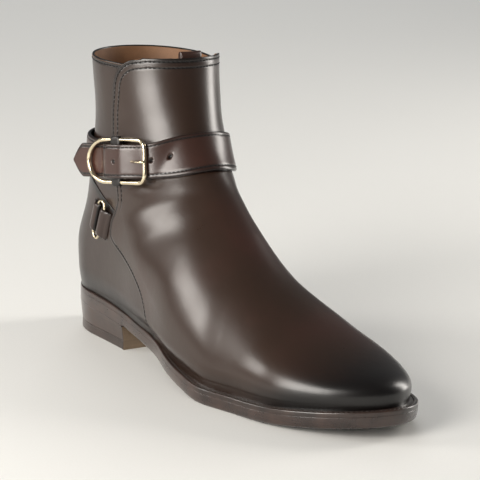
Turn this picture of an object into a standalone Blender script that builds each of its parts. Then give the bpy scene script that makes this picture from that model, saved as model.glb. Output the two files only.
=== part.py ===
"""Right jodhpur ankle boot with an ankle strap, in metres.

The toe points along -Y, +X is the inner (medial) side of the foot and the ground is z = 0. The origin is
the middle of the heel's ground face. Two functions carry the whole form: outline() is the plan of the sole
and half_width() is the upper, as a half width over every point of its side view.
"""
from collections import namedtuple
from math import cos, pi, radians, sin

import bmesh
import bpy
import numpy as np
from mathutils import Vector

# Driving sizes
OUTSOLE_LENGTH = 0.304
BALL_WIDTH = 0.0964
HEEL_WIDTH = 0.0648
HEEL_LENGTH = 0.079
HEEL_BACK = 0.034              # back of the sole behind the middle of the heel's ground face
SEAT_LIFT = 0.0194             # underside of the sole above the ground at the back of the heel
TOE_SPRING = 0.0086
INSTEP_HEIGHT = 0.1255         # ridge above the ground where foot turns into shaft
TOE_BOX_HEIGHT = 0.040         # ridge above the ground behind the toe tip
SHAFT_HEIGHT = 0.180           # to the collar at the back
SHAFT_WIDTH = 0.0756
COLLAR_FRONT_HEIGHT = 0.1873
COLLAR_STEP = 0.0042           # front panel above the rear panel where they meet
SHAFT_LEAN = 0.034             # inward lean of the shaft, per metre of height
UPPER_WALL = 0.0022            # calf and lining together
LAP = 0.0008                   # one leather laid over another
FLARE_HEIGHT = 0.014           # most height that the side takes to swell out from the sole
GAP = 0.0003
WELT_REACH = 0.0058            # welt beyond the upper at the forefoot
WELT_REACH_HEEL = 0.0012
WELT_THICKNESS = 0.0032
WELT_INSIDE = 0.010            # welt under the insole, inwards of the upper
EDGE_ROUND = 0.0006            # rounding of the welt's and the lifts' edges
OUTSOLE_THICKNESS = 0.0064
INSOLE_THICKNESS = 0.0026
TOP_PIECE_THICKNESS = 0.006
HEEL_TAPER = 0.0016            # heel narrower at the ground than at the sole, each side
STRAP_WIDTH = 0.0212
STRAP_THICKNESS = 0.0024
STRAP_BACK_HEIGHT = 0.119      # middle of the strap above the ground at the back
STRAP_RISE = 0.013             # and how much higher it is at the front
STRAP_EDGE = 0.0004             # rounding of its edges
WIRE_RADIUS = 0.0014           # buckle frame
FRAME_HEIGHT = 0.0264          # between the middles of its rails
SQUARE_REACH = 0.0252          # centre bar to the straight end bar
ROUND_REACH = 0.0262           # centre bar to the top of the round end
TIP_REACH = 0.043              # centre bar to the point of the strap
CHAPE_LENGTH = 0.0088
CHAPE_LEATHER = 0.0009
FRAME_CORNER = 0.0055          # bend of the square end
BUCKLE_STAND = 0.0046          # middle of the centre bar above the upper
PRONG_RADIUS = 0.0010
RING_LENGTH = 0.0262
RING_WIDTH = 0.0098
RING_WIRE_RADIUS = 0.0009
RING_HEIGHT = 0.079            # middle of the ring above the ground
TAB_WIDTH = 0.015
TAB_DEPTH = 0.018              # below the collar
TAB_RISE = 0.0028              # above it
TAB_LEATHER = 0.0019

# Mesh steps
RINGS = 27                     # feather edge to collar
COLUMNS_REAR = 9               # back line to side seam
COLUMNS_FRONT = 17             # side seam to ridge
OUTLINE_STEPS = 38             # heel to toe along one side of the sole

# Sole, a row for each station. along: share of the length from the back. centre: share of the ball width
# towards the inner side. of_heel, of_ball: half width as shares of the two widths. overhang: upper beyond
# the sole, as a share of the welt's reach. of_seat, of_spring: height of the underside.
Station = namedtuple("Station", "along centre of_heel of_ball overhang of_seat of_spring")
STATIONS = (
    Station(0.00, 0.000, 0.492, 0.000, 0.10, 1.000, 0.00),
    Station(0.12, 0.000, 0.500, 0.000, 0.14, 0.935, 0.00),
    Station(0.25, -0.018, 0.492, 0.000, 0.38, 0.800, 0.00),
    Station(0.33, -0.045, 0.400, 0.056, 0.66, 0.640, 0.00),
    Station(0.40, -0.073, 0.260, 0.146, 0.86, 0.480, 0.00),
    Station(0.50, -0.090, 0.000, 0.398, 0.38, 0.265, 0.00),
    Station(0.56, -0.076, 0.000, 0.450, 0.00, 0.150, 0.00),
    Station(0.64, -0.044, 0.000, 0.495, -0.32, 0.000, 0.00),
    Station(0.72, 0.022, 0.000, 0.500, -0.42, 0.000, 0.00),
    Station(0.80, 0.062, 0.000, 0.498, -0.45, 0.000, 0.12),
    Station(0.90, 0.100, 0.000, 0.449, -0.48, 0.000, 0.47),
    Station(1.00, 0.128, 0.000, 0.391, -0.52, 0.000, 1.00),
)
TOE_ROUND, TOE_POWER = 0.22, 2.3       # share of the length that the toe takes to close, and how
HEEL_ROUND, HEEL_POWER = 0.13, 2.2

# Ridge of the upper in side view, toe to collar. Height is the sum of three shares. round_over: depth over
# which the surface turns over the ridge, as a share of the instep height. power: how full that turn is.
Ridge = namedtuple("Ridge", "along of_toe of_instep of_front round_over power")
RIDGE = (
    Ridge(1.000, 1.05, 0.000, 0.000, 0.175, 2.30),
    Ridge(0.920, 1.00, 0.000, 0.000, 0.223, 2.25),
    Ridge(0.800, 0.35, 0.270, 0.000, 0.303, 2.10),
    Ridge(0.680, 0.00, 0.527, 0.000, 0.382, 1.90),
    Ridge(0.560, 0.00, 0.717, 0.000, 0.462, 1.65),
    Ridge(0.402, 0.00, 0.985, 0.000, 0.478, 1.60),
    Ridge(0.386, 0.00, 1.028, 0.000, 0.430, 1.75),
    Ridge(0.346, 0.00, 0.000, 0.801, 0.430, 1.90),
    Ridge(0.317, 0.00, 0.000, 0.934, 0.430, 2.00),
    Ridge(0.304, 0.00, 0.000, 1.148, 0.430, 2.00),
)

# Back line and width of the shaft. height: share of the shaft height. along: as above, so a negative
# share stands out behind the sole. width: half width as a share of the shaft width.
Shaft = namedtuple("Shaft", "height along width")
SHAFT = (
    Shaft(0.10, 0.0020, 0.467),
    Shaft(0.18, -0.0015, 0.467),
    Shaft(0.31, -0.0098, 0.467),
    Shaft(0.47, 0.0174, 0.467),
    Shaft(0.61, 0.0250, 0.493),
    Shaft(0.78, 0.0316, 0.500),
    Shaft(1.00, 0.0112, 0.525),
    Shaft(1.25, -0.0020, 0.540),
)

# Rear edge of the front panel in side view: share of the shaft height, share of the length.
Seam = namedtuple("Seam", "height along")
SIDE_SEAM = (
    Seam(0.15, 0.395), Seam(0.24, 0.365), Seam(0.30, 0.319), Seam(0.345, 0.260), Seam(0.372, 0.206),
    Seam(0.40, 0.178), Seam(0.47, 0.182), Seam(0.515, 0.222), Seam(0.57, 0.228), Seam(0.65, 0.213),
    Seam(0.75, 0.202), Seam(0.85, 0.196), Seam(0.935, 0.197), Seam(0.98, 0.206), Seam(1.03, 0.226),
)
# Top edge of the rear quarter: share of the length, share of the shaft height.
QUARTER_TOP = (Seam(0.640, 0.00), Seam(0.585, 0.09), Seam(0.556, 0.13), Seam(0.512, 0.175), Seam(0.47, 0.24))


def smoothstep(x, low, high):
    t = np.clip((x - low) / (high - low), 0, 1)
    return t * t * (3 - 2 * t)


def curve(xs, ys, level=True):
    """Cubic through the points. Level: where the slope changes sign it lies flat, so nothing overshoots."""
    xs, ys = np.asarray(xs, float), np.asarray(ys, float)
    step = np.diff(xs)
    slope = np.diff(ys) / step
    tangent = np.concatenate([slope[:1], 0 * slope[1:], slope[-1:]])
    if level:
        same = slope[:-1] * slope[1:] > 0
        before, after = 2 * step[1:] + step[:-1], step[1:] + 2 * step[:-1]
        weight = before[same] / slope[:-1][same] + after[same] / slope[1:][same]
        tangent[1:-1][same] = (before + after)[same] / weight
    else:
        tangent[1:-1] = (slope[:-1] * step[1:] + slope[1:] * step[:-1]) / (step[1:] + step[:-1])

    def at(x):
        x = np.clip(x, xs[0], xs[-1])
        i = np.clip(np.searchsorted(xs, x) - 1, 0, len(step) - 1)
        t = (x - xs[i]) / step[i]
        return ((1 + 2 * t) * (1 - t) ** 2 * ys[i] + t * (1 - t) ** 2 * step[i] * tangent[i]
                + t * t * (3 - 2 * t) * ys[i + 1] + t * t * (t - 1) * step[i] * tangent[i + 1])
    return at


def column(rows, name):
    return np.array([getattr(row, name) for row in rows])


def place(along):
    """Y of a share of the outsole's length."""
    return HEEL_BACK - OUTSOLE_LENGTH * np.asarray(along)


def share(y):
    return (HEEL_BACK - y) / OUTSOLE_LENGTH


# Sole
_along = column(STATIONS, "along")
centre_line = curve(_along, column(STATIONS, "centre") * BALL_WIDTH, level=False)
sole_half = curve(_along, column(STATIONS, "of_heel") * HEEL_WIDTH + column(STATIONS, "of_ball") * BALL_WIDTH,
                  level=False)
overhang = curve(_along, column(STATIONS, "overhang") * WELT_REACH)
underside = curve(_along, column(STATIONS, "of_seat") * SEAT_LIFT + column(STATIONS, "of_spring") * TOE_SPRING)
EDGE = WELT_THICKNESS + GAP + OUTSOLE_THICKNESS


def welt_reach(s):
    return WELT_REACH_HEEL + (WELT_REACH - WELT_REACH_HEEL) * smoothstep(s, 0.28, 0.5)


def outline(steps, inset=0.0, first=0.0, last=1.0):
    """Both sides of the sole's plan, set in by a distance: station shares, y, outer x and inner x.

    The half width is the station table's, closed at both ends by (1 - t^p)^(1/2) over the toe's and the
    heel's share of the length.
    """
    t = first + (last - first) * (1 - np.cos(pi * np.linspace(0, 1, steps))) / 2
    inset = inset(t) if callable(inset) else inset
    y = HEEL_BACK - inset - (OUTSOLE_LENGTH - 2 * inset) * t
    s = share(y)
    toe = np.clip((t - 1 + TOE_ROUND) / TOE_ROUND, 0, 1)
    heel = np.clip((HEEL_ROUND - t) / HEEL_ROUND, 0, 1)
    half = (sole_half(s) - inset) * np.sqrt((1 - toe ** TOE_POWER) * (1 - heel ** HEEL_POWER))
    return s, y, centre_line(s) - half, centre_line(s) + half


# Upper
def welt_top(s):
    return underside(s) + EDGE


def seat(s):
    """Where the upper's lower edge and the insole rest on the welt."""
    return welt_top(s) + GAP


_ridge_y = place(column(RIDGE, "along"))
_ridge_z = (column(RIDGE, "of_toe") * TOE_BOX_HEIGHT + column(RIDGE, "of_instep") * INSTEP_HEIGHT
            + column(RIDGE, "of_front") * COLLAR_FRONT_HEIGHT)
RIDGE_RUN = np.concatenate([[0], np.cumsum(np.hypot(np.diff(_ridge_y), np.diff(_ridge_z)))])
RIDGE_AT = np.linspace(0, RIDGE_RUN[-1], 600)
RIDGE_Y = curve(RIDGE_RUN, _ridge_y, level=False)(RIDGE_AT)
RIDGE_Z = curve(RIDGE_RUN, _ridge_z, level=False)(RIDGE_AT)
_ty, _tz = np.gradient(RIDGE_Y), np.gradient(RIDGE_Z)
RIDGE_TY, RIDGE_TZ = _ty / np.hypot(_ty, _tz), _tz / np.hypot(_ty, _tz)
turn_depth = curve(RIDGE_RUN, column(RIDGE, "round_over") * INSTEP_HEIGHT)
turn_power = curve(RIDGE_RUN, column(RIDGE, "power"))
back_line = curve(column(SHAFT, "height") * SHAFT_HEIGHT, place(column(SHAFT, "along")))
shaft_half = curve(column(SHAFT, "height") * SHAFT_HEIGHT, column(SHAFT, "width") * SHAFT_WIDTH)
side_seam = curve(column(SIDE_SEAM, "height") * SHAFT_HEIGHT, place(column(SIDE_SEAM, "along")))
TOE_TIP = place(1.0) + WELT_REACH
TOE_CLOSE = OUTSOLE_LENGTH * TOE_ROUND - WELT_REACH + 0.001
FOOT_TOP, SHAFT_FOOT = 0.22 * SHAFT_HEIGHT, 0.67 * SHAFT_HEIGHT
LEAN_FROM, LEAN_FULL = 0.333 * SHAFT_HEIGHT, 0.556 * SHAFT_HEIGHT
COLLAR_FROM, COLLAR_TO = place(0.217), place(0.339)    # slope of the front panel's top edge


def ridge_height(y):
    return np.interp(y, RIDGE_Y, RIDGE_Z)


def flare(y):
    """Height over which the side swells out from the feather edge."""
    return np.minimum(0.28 * (ridge_height(y) - seat(share(y))), FLARE_HEIGHT)


def half_width(y, z):
    """Centre and half width of the upper at points of its side view.

    The full width runs from the sole's plan below to the shaft's width above. It closes towards three
    edges: the toe tip, the back line and the ridge, whose distance is measured square to the ridge, so
    the same turn serves the vamp, the bend of the instep and the front of the shaft.
    """
    s, floor, top = share(y), seat(share(y)), ridge_height(y)
    swell = flare(y)
    rise = np.sin(np.clip((z - floor) / swell, 0, 1) * pi / 2)
    feather = sole_half(s) - welt_reach(s)
    foot = feather + (sole_half(s) + overhang(s) - feather) * rise
    blend = smoothstep(z, FOOT_TOP, SHAFT_FOOT) * smoothstep(y, place(0.67), place(0.276))
    full = foot * (1 - blend) + shaft_half(z) * blend
    i = np.argmin((y[..., None] - RIDGE_Y) ** 2 + (z[..., None] - RIDGE_Z) ** 2, axis=-1)
    off_y, off_z = y - RIDGE_Y[i], z - RIDGE_Z[i]
    distance = np.abs(off_y * RIDGE_TZ[i] - off_z * RIDGE_TY[i])
    at = RIDGE_AT[i] + off_y * RIDGE_TY[i] + off_z * RIDGE_TZ[i]
    depth = np.minimum(turn_depth(at), top - floor - swell)
    over_ridge = np.clip(1 - distance / depth, 0, 1) ** turn_power(at)
    at_toe = np.clip((TOE_TIP + TOE_CLOSE - y) / TOE_CLOSE, 0, 1) ** TOE_POWER
    behind = HEEL_WIDTH * (0.52 + 0.19 * smoothstep(z, 0.33 * SHAFT_HEIGHT, SHAFT_FOOT))
    at_back = np.clip(1 - (back_line(z) - y) / behind, 0, 1) ** 2.15
    centre = centre_line(s) * (1 - smoothstep(z, 0.33 * SHAFT_HEIGHT, SHAFT_FOOT))
    centre = centre + SHAFT_LEAN * (z - LEAN_FROM) * smoothstep(z, LEAN_FROM, LEAN_FULL)
    return centre, full * np.sqrt(np.clip(1 - over_ridge - at_toe - at_back, 0, 1))


def collar_height(y):
    """Top edge: the front panel stands a step above the rear panel."""
    fall = (COLLAR_FRONT_HEIGHT - SHAFT_HEIGHT - COLLAR_STEP) / (COLLAR_FROM - COLLAR_TO)
    front = COLLAR_FRONT_HEIGHT - fall * (y - COLLAR_TO)
    ahead = smoothstep(-y, -place(0.205), -place(0.235))
    return SHAFT_HEIGHT + (np.clip(front, 0, COLLAR_FRONT_HEIGHT + 0.002) - SHAFT_HEIGHT) * ahead


def lap(y, z):
    """How far the outer face lies below the front panel: quarter one lap, shaft panel two."""
    behind = smoothstep(y - side_seam(z), -0.0003, 0.0009)
    panel = smoothstep(z / SHAFT_HEIGHT - quarter_top_height(y), -0.004, 0.008)
    return LAP * behind * (1 + panel)


def quarter_top_height(y):
    """Top edge of the quarter: a slant from the ring up to the strap at the back."""
    rows = sorted(QUARTER_TOP, key=lambda row: row.along)
    return np.interp(share(y), [row.along for row in rows], [row.height for row in rows])


def ridge_points(steps):
    """Points of the side view from the toe's feather edge over the toe and up the ridge to the collar."""
    close = TOE_TIP + TOE_CLOSE * np.linspace(0, 1, 160) ** 2
    y = np.concatenate([close, RIDGE_Y[RIDGE_Y > TOE_TIP + TOE_CLOSE]])
    top = np.concatenate([ridge_height(close), RIDGE_Z[RIDGE_Y > TOE_TIP + TOE_CLOSE]])
    depth = np.minimum(turn_depth(np.interp(y, RIDGE_Y[:300], RIDGE_AT[:300])), top - seat(share(y)) - flare(y))
    toe = np.clip((TOE_TIP + TOE_CLOSE - y) / TOE_CLOSE, 0, 1) ** TOE_POWER
    z = top - depth * (1 - (1 - toe) ** (1 / 2.2))
    y = np.concatenate([np.full(5, TOE_TIP), y])
    z = np.concatenate([np.linspace(seat(1.0), z[0], 6)[:-1], z])
    inside = z < collar_height(y)
    y, z = y[inside], z[inside]
    z_end = collar_height(y[-1])
    y, z = np.append(y, y[-1]), np.append(z, z_end)
    run = np.concatenate([[0], np.cumsum(np.hypot(np.diff(y), np.diff(z)))])
    u = np.linspace(0, 1, steps) ** 1.2
    return np.interp(u * run[-1], run, y), np.interp(u * run[-1], run, z), u


def side_grid(rings, rear, front):
    """Side-view points of the upper: rings from feather edge to collar, columns from back line to ridge.

    Two columns hug the side seam on every ring, so that its step is sharp.
    """
    ty, tz, u = ridge_points(rings)
    zb = seat(0.0) + (SHAFT_HEIGHT - seat(0.0)) * u ** 1.6
    yb = back_line(zb)
    bow = 1 + (1 - u)
    sag = (1 - u) ** 1.5

    def ring(q):
        y = yb[:, None] + (ty - yb)[:, None] * q
        chord = seat(share(yb))[:, None] * (1 - q) + seat(share(ty))[:, None] * q
        z = zb[:, None] + (tz - zb)[:, None] * q ** bow[:, None] + sag[:, None] * (seat(share(y)) - chord)
        lift = collar_height(y) - SHAFT_HEIGHT - (tz[-1] - SHAFT_HEIGHT) * q
        return y, z + lift * smoothstep(u, 0.85, 1.0)[:, None]

    q = np.linspace(0, 1, 400) * np.ones((rings, 1))
    y, z = ring(q)
    seam = np.array([np.interp(0, side_seam(zr) - yr, qr) for yr, zr, qr in zip(y, z, q)])[:, None]
    step = 0.0006 / (yb - ty)[:, None]
    rear_part = (seam - step) * (1 - np.cos(pi / 2 * np.linspace(0, 1, rear)))
    front_part = seam + step + (1 - seam - step) * np.sin(pi / 2 * np.linspace(0, 1, front))
    return ring(np.concatenate([rear_part, front_part], axis=1))


def around(y, z):
    """Closed rings of 3D points: outer side back to front, then inner side front to back, and normals."""
    centre, half = half_width(y, z)
    half[:, 0] = half[:, -1] = 0
    outer = np.stack([centre - half, y, z], axis=-1)
    inner = np.stack([centre + half, y, z], axis=-1)[:, -2:0:-1]
    points = np.concatenate([outer, inner], axis=1)
    along = np.roll(points, -1, axis=1) - np.roll(points, 1, axis=1)
    up = np.gradient(points, axis=0)
    normal = np.cross(along, up)
    return points, normal / np.linalg.norm(normal, axis=-1, keepdims=True)


# Meshes
def material(name, colour, roughness, metallic=0.0):
    made = bpy.data.materials.new(name)
    made.use_nodes = True
    shader = made.node_tree.nodes["Principled BSDF"]
    shader.inputs["Base Color"].default_value = (*colour, 1)
    shader.inputs["Roughness"].default_value = roughness
    shader.inputs["Metallic"].default_value = metallic
    return made


def solid(name, points, faces, look, sharp=40):
    """A closed mesh object whose faces point outward."""
    mesh = bpy.data.meshes.new(name)
    work = bmesh.new()
    verts = [work.verts.new(p) for p in np.asarray(points).reshape(-1, 3)]
    for face in faces:
        corners = list(dict.fromkeys(face))
        if len(corners) > 2:
            work.faces.new([verts[i] for i in corners])
    bmesh.ops.recalc_face_normals(work, faces=work.faces)
    bmesh.ops.triangulate(work, faces=work.faces, quad_method="SHORT_EDGE")
    work.to_mesh(mesh)
    work.free()
    mesh.shade_smooth()
    mesh.set_sharp_from_angle(angle=radians(sharp))
    made = bpy.data.objects.new(name, mesh)
    mesh.materials.append(look)
    bpy.context.scene.collection.objects.link(made)
    return made


def band(rows, columns, closed_rows=True, closed_columns=True):
    """Quads of a grid of points that wraps around in either direction."""
    grid = np.arange(rows * columns).reshape(rows, columns)
    if closed_rows:
        grid = np.vstack([grid, grid[:1]])
    if closed_columns:
        grid = np.hstack([grid, grid[:, :1]])
    corners = np.stack([grid[:-1, :-1], grid[1:, :-1], grid[1:, 1:], grid[:-1, 1:]], axis=-1)
    return [tuple(int(v) for v in face) for face in corners.reshape(-1, 4)]


def loop_of(y, left, right, z):
    """Closed plan loop: outer side heel to toe, inner side back again."""
    outer = np.stack([left, y, z], axis=-1)
    inner = np.stack([right, y, z], axis=-1)[-2:0:-1]
    return np.concatenate([outer, inner])


def slab(name, layers, look, square_front=False):
    """A plate with a plan outline: layers of (inset, height function), lowest first, capped across."""
    last = HEEL_LENGTH / OUTSOLE_LENGTH if square_front else 1.0
    steps = 16 if square_front else OUTLINE_STEPS
    loops = []
    for inset, height in layers:
        s, y, left, right = outline(steps, inset, 0.0, last)
        if square_front:
            y = y + (place(last) - y[-1]) * np.linspace(0, 1, steps) ** 2
            outer = np.stack([left, y, height(share(y))], axis=-1)
            inner = np.stack([right, y, height(share(y))], axis=-1)[:0:-1]
            loops.append(np.concatenate([outer, inner]))
        else:
            loops.append(loop_of(y, left, right, height(s)))
    count = len(loops[0])
    faces = band(len(loops), count, closed_rows=False)
    for base in (0, (len(loops) - 1) * count):
        for k in range(steps - 1):
            faces.append((base + k, base + k + 1, base + (count - k - 1) % count, base + (count - k) % count))
    return solid(name, loops, faces, look)


def tube(name, path, radius, look, sides=8, closed=True):
    """A round wire along a path, with flat ends where it is open."""
    path = np.asarray(path)
    ahead = np.roll(path, -1, axis=0) - np.roll(path, 1, axis=0) if closed else np.gradient(path, axis=0)
    ahead = ahead / np.linalg.norm(ahead, axis=1, keepdims=True)
    flat = path - path.mean(axis=0)
    across = np.linalg.svd(flat)[2][2]
    side = np.cross(ahead, across)
    side = side / np.linalg.norm(side, axis=1, keepdims=True)
    across = np.cross(side, ahead)
    turn = 2 * pi * (np.arange(sides) + 0.5) / sides
    rings = (path[:, None] + radius * (side[:, None] * np.cos(turn)[:, None]
                                       + across[:, None] * np.sin(turn)[:, None]))
    faces = band(len(path), sides, closed_rows=closed)
    if not closed:
        end = (len(path) - 1) * sides
        faces += [tuple(range(sides)), tuple(range(end, end + sides))]
    return solid(name, rings, faces, look)


def boolean(target, tool, operation):
    step = target.modifiers.new(tool.name, "BOOLEAN")
    step.operation, step.object, step.solver = operation, tool, "EXACT"
    tool.hide_render = True
    tool.display_type = "WIRE"


# Looks
for old in list(bpy.data.objects):
    bpy.data.objects.remove(old)

CALF = material("burnished calf", (0.060, 0.024, 0.016), 0.28)
LINING_LEATHER = material("insole leather", (0.42, 0.23, 0.12), 0.6)
WELT_LEATHER = material("welt leather", (0.035, 0.018, 0.012), 0.4)
SOLE_LEATHER = material("sole leather", (0.045, 0.022, 0.014), 0.35)
LIFT_LEATHER = material("heel lifts", (0.055, 0.027, 0.017), 0.38)
RUBBER = material("top piece rubber", (0.02, 0.017, 0.015), 0.7)
BRASS = material("pale brass", (0.86, 0.74, 0.50), 0.18, 1.0)

# Upper: the outer face with its laps, and the inner face one wall inside it
side_y, side_z = side_grid(RINGS, COLUMNS_REAR, COLUMNS_FRONT)
face, outward = around(side_y, side_z)
drop = lap(face[..., 1], face[..., 2])[..., None]
skin = face - outward * drop
inside = face - outward * (UPPER_WALL + LAP)
inside[0, :, 2] = skin[0, :, 2]
inside[-1, :, 2] = skin[-1, :, 2]
upper_points = np.concatenate([skin, inside[::-1]])
solid("upper", upper_points, band(len(upper_points), face.shape[1]), CALF, sharp=55)

# Sole unit
INNER_RIM = UPPER_WALL + LAP + WELT_INSIDE
WELT_CORNERS = ((EDGE_ROUND, 0.0), (0.0, -EDGE_ROUND), (0.0, EDGE_ROUND - WELT_THICKNESS),
                (EDGE_ROUND, -WELT_THICKNESS), (None, -WELT_THICKNESS), (None, 0.0))
strip = []
for inset, drop_to in WELT_CORNERS:
    inset = (lambda t: welt_reach(t) + INNER_RIM) if inset is None else inset
    s, y, left, right = outline(OUTLINE_STEPS, inset)
    strip.append(loop_of(y, left, right, welt_top(s) + drop_to))
solid("welt", strip, band(len(strip), len(strip[0])), WELT_LEATHER)
slab("outsole", ((0.0014, underside), (0.0002, lambda s: underside(s) + 0.0014),
                 (0.0002, lambda s: underside(s) + OUTSOLE_THICKNESS - 0.0008),
                 (0.0010, lambda s: underside(s) + OUTSOLE_THICKNESS)), SOLE_LEATHER)
insole_inset = lambda t: welt_reach(t) + UPPER_WALL + LAP + 2 * GAP
slab("insole", ((insole_inset, seat), (insole_inset, lambda s: seat(s) + INSOLE_THICKNESS)), LINING_LEATHER)
slab("heel_stack", ((HEEL_TAPER, lambda s: 0 * s + TOP_PIECE_THICKNESS + GAP),
                    (EDGE_ROUND, lambda s: underside(s) - GAP - 0.0008),
                    (0.0010, lambda s: underside(s) - GAP)), LIFT_LEATHER, square_front=True)
slab("heel_top_piece", ((HEEL_TAPER + EDGE_ROUND, lambda s: 0 * s), (HEEL_TAPER, lambda s: 0 * s + 0.0008),
                        (HEEL_TAPER, lambda s: 0 * s + TOP_PIECE_THICKNESS)), RUBBER, square_front=True)


# Ankle strap
def strap_height(q, level):
    return STRAP_BACK_HEIGHT + STRAP_RISE * q ** 2.6 + level


def strap_point(q, side, level):
    """A point of the upper under the strap, and the upper's normal there.

    q runs from the back line (0) to the ridge (1), side is -1 outer and +1 inner, level is the height
    above the strap's middle line.
    """
    def at(q, level):
        z = strap_height(q, level)
        front = np.interp(z, RIDGE_Z, RIDGE_Y)
        y = back_line(z) + (front - back_line(z)) * q
        centre, half = half_width(np.array([y]), np.array([z]))
        return Vector((centre[0] + side * half[0], y, z))
    up = (at(q, level + 0.001) - at(q, level - 0.001)).normalized()
    if min(q, 1 - q) < 0.002:
        normal = Vector((0, 1 if q < 0.5 else -1, 0))
        normal = (normal - up * normal.dot(up)).normalized()
    else:
        step = 0.3 * min(q, 1 - q, 0.01)
        normal = (at(q + step, level) - at(q - step, level)).cross(up).normalized()
        if normal.x * side < 0:
            normal.negate()
    return at(q, level), normal


def strap_q(y, level):
    """The strap's q at a place along the foot."""
    q = 0.5
    for _ in range(4):
        z = strap_height(q, level)
        q = float((back_line(z) - y) / (back_line(z) - np.interp(z, RIDGE_Z, RIDGE_Y)))
    return q


STRAP_LEVELS = (-STRAP_WIDTH / 2, 0.0, STRAP_WIDTH / 2)
STRAP_GAP = 2 * GAP            # its flat facets stay clear of the round upper


def strap_station(qs, side):
    """Low, middle and high point of the strap's inner face, each with its outward direction."""
    found = [strap_point(q, side, level) for q, level in zip(qs, STRAP_LEVELS)]
    return [(point + normal * STRAP_GAP, normal) for point, normal in found]


# The buckle's frame: ahead runs to its square end, out points away from the boot
BUCKLE_AT = 0.563              # where the centre bar lies, as the strap's q
BUCKLE_TURN, BUCKLE_LEAN, BUCKLE_RISE = radians(10), radians(4), radians(9)
seat_point, _ = strap_point(BUCKLE_AT, -1, -0.0006)
out = Vector((-cos(BUCKLE_TURN), -sin(BUCKLE_TURN), sin(BUCKLE_LEAN))).normalized()
ahead = Vector((sin(BUCKLE_TURN), -cos(BUCKLE_TURN), sin(BUCKLE_RISE)))
ahead = (ahead - out * ahead.dot(out)).normalized()
upward = ahead.cross(out) if ahead.cross(out).z > 0 else out.cross(ahead)
buckle_centre = seat_point + out * BUCKLE_STAND


def on_buckle(along, height, stand):
    return buckle_centre + ahead * along + upward * height + out * stand


BILLET_OVER = WIRE_RADIUS + CHAPE_LEATHER + 2 * GAP           # inner face over the chape
BILLET_UNDER = -WIRE_RADIUS - GAP - STRAP_THICKNESS - 0.0002  # inner face under the frame
OVER_CHAPE = CHAPE_LENGTH / 2 + 0.0010
billet_stand = curve([-TIP_REACH - 0.01, -TIP_REACH, -ROUND_REACH, -0.60 * ROUND_REACH, -OVER_CHAPE,
                      0.0, OVER_CHAPE, 0.6 * SQUARE_REACH, SQUARE_REACH, SQUARE_REACH + 0.01],
                     [BILLET_UNDER, BILLET_UNDER, BILLET_UNDER, 0.97 * BILLET_UNDER, BILLET_OVER,
                      BILLET_OVER, BILLET_OVER, 0.35 * BILLET_UNDER, BILLET_UNDER, BILLET_UNDER])

quarter_turn = np.linspace(0, pi / 2, 14)
chape_end = [strap_q(seat_point.y + CHAPE_LENGTH / 2 + 0.003, level) for level in STRAP_LEVELS]
frame_end = [strap_q(seat_point.y - SQUARE_REACH - 0.004, level) for level in STRAP_LEVELS]
sections = [strap_station([q * (1 - cos(t)) for q in chape_end], -1) for t in quarter_turn[::-1]]
sections += [strap_station([q] * 3, 1) for q in (1 - np.cos(np.linspace(0, pi, 34)[1:-1])) / 2]
sections += [strap_station([1 - (1 - q) * (1 - cos(t)) for q in frame_end], -1) for t in quarter_turn]
half = STRAP_WIDTH / 2
for along in np.linspace(SQUARE_REACH + 0.0012, 0.0055 - TIP_REACH, 30):
    stand = float(billet_stand(along))
    sections.append([(on_buckle(along, part * half, stand), out) for part in (-1, 0, 1)])
for back_off, part in ((0.0022, 0.62), (0.0004, 0.22)):
    sections.append([(on_buckle(back_off - TIP_REACH, level * half * part, BILLET_UNDER), out)
                     for level in (-1, 0, 1)])

strap_points = []
for (low, low_out), (middle, middle_out), (high, high_out) in sections:
    edge = (high - low).normalized() * STRAP_EDGE
    low_out, middle_out, high_out = (v * STRAP_THICKNESS for v in (low_out, middle_out, high_out))
    strap_points.append([low + edge, low + low_out * 0.25, low + low_out * 0.75, low + edge + low_out,
                         middle + middle_out, high - edge + high_out, high + high_out * 0.75,
                         high + high_out * 0.25, high - edge, middle])
faces = band(len(strap_points), 10, closed_rows=False)
end = (len(strap_points) - 1) * 10
faces += [tuple(range(10)), tuple(range(end, end + 10))]
strap = solid("ankle_strap", [[tuple(p) for p in row] for row in strap_points], faces, CALF)

# Buckle: a square loop ahead of the centre bar and a round one behind it
frame_path = []
rail = FRAME_HEIGHT / 2
for turn in np.linspace(-pi / 2, 0, 5):
    frame_path.append((SQUARE_REACH - FRAME_CORNER * (1 - cos(turn)), -rail + FRAME_CORNER * (1 + sin(turn))))
for turn in np.linspace(0, pi / 2, 5):
    frame_path.append((SQUARE_REACH - FRAME_CORNER * (1 - cos(turn)), rail - FRAME_CORNER * (1 - sin(turn))))
frame_path += [(SQUARE_REACH * 0.4, rail), (0.0, rail), (-ROUND_REACH * 0.22, rail)]
for turn in np.linspace(pi / 2, 3 * pi / 2, 17):
    frame_path.append((-ROUND_REACH * 0.40 + ROUND_REACH * 0.60 * cos(turn), rail * sin(turn)))
frame_path += [(-ROUND_REACH * 0.22, -rail), (0.0, -rail), (SQUARE_REACH * 0.4, -rail)]
frame_points = [tuple(on_buckle(a, h, 0.0)) for a, h in frame_path]
bar_points = [tuple(on_buckle(0.0, h, 0.0)) for h in np.linspace(-rail, rail, 3)]
frame = tube("buckle_frame", frame_points, WIRE_RADIUS, BRASS)
boolean(frame, tube("centre_bar", bar_points, WIRE_RADIUS * 0.95, BRASS, closed=False), "UNION")

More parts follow.
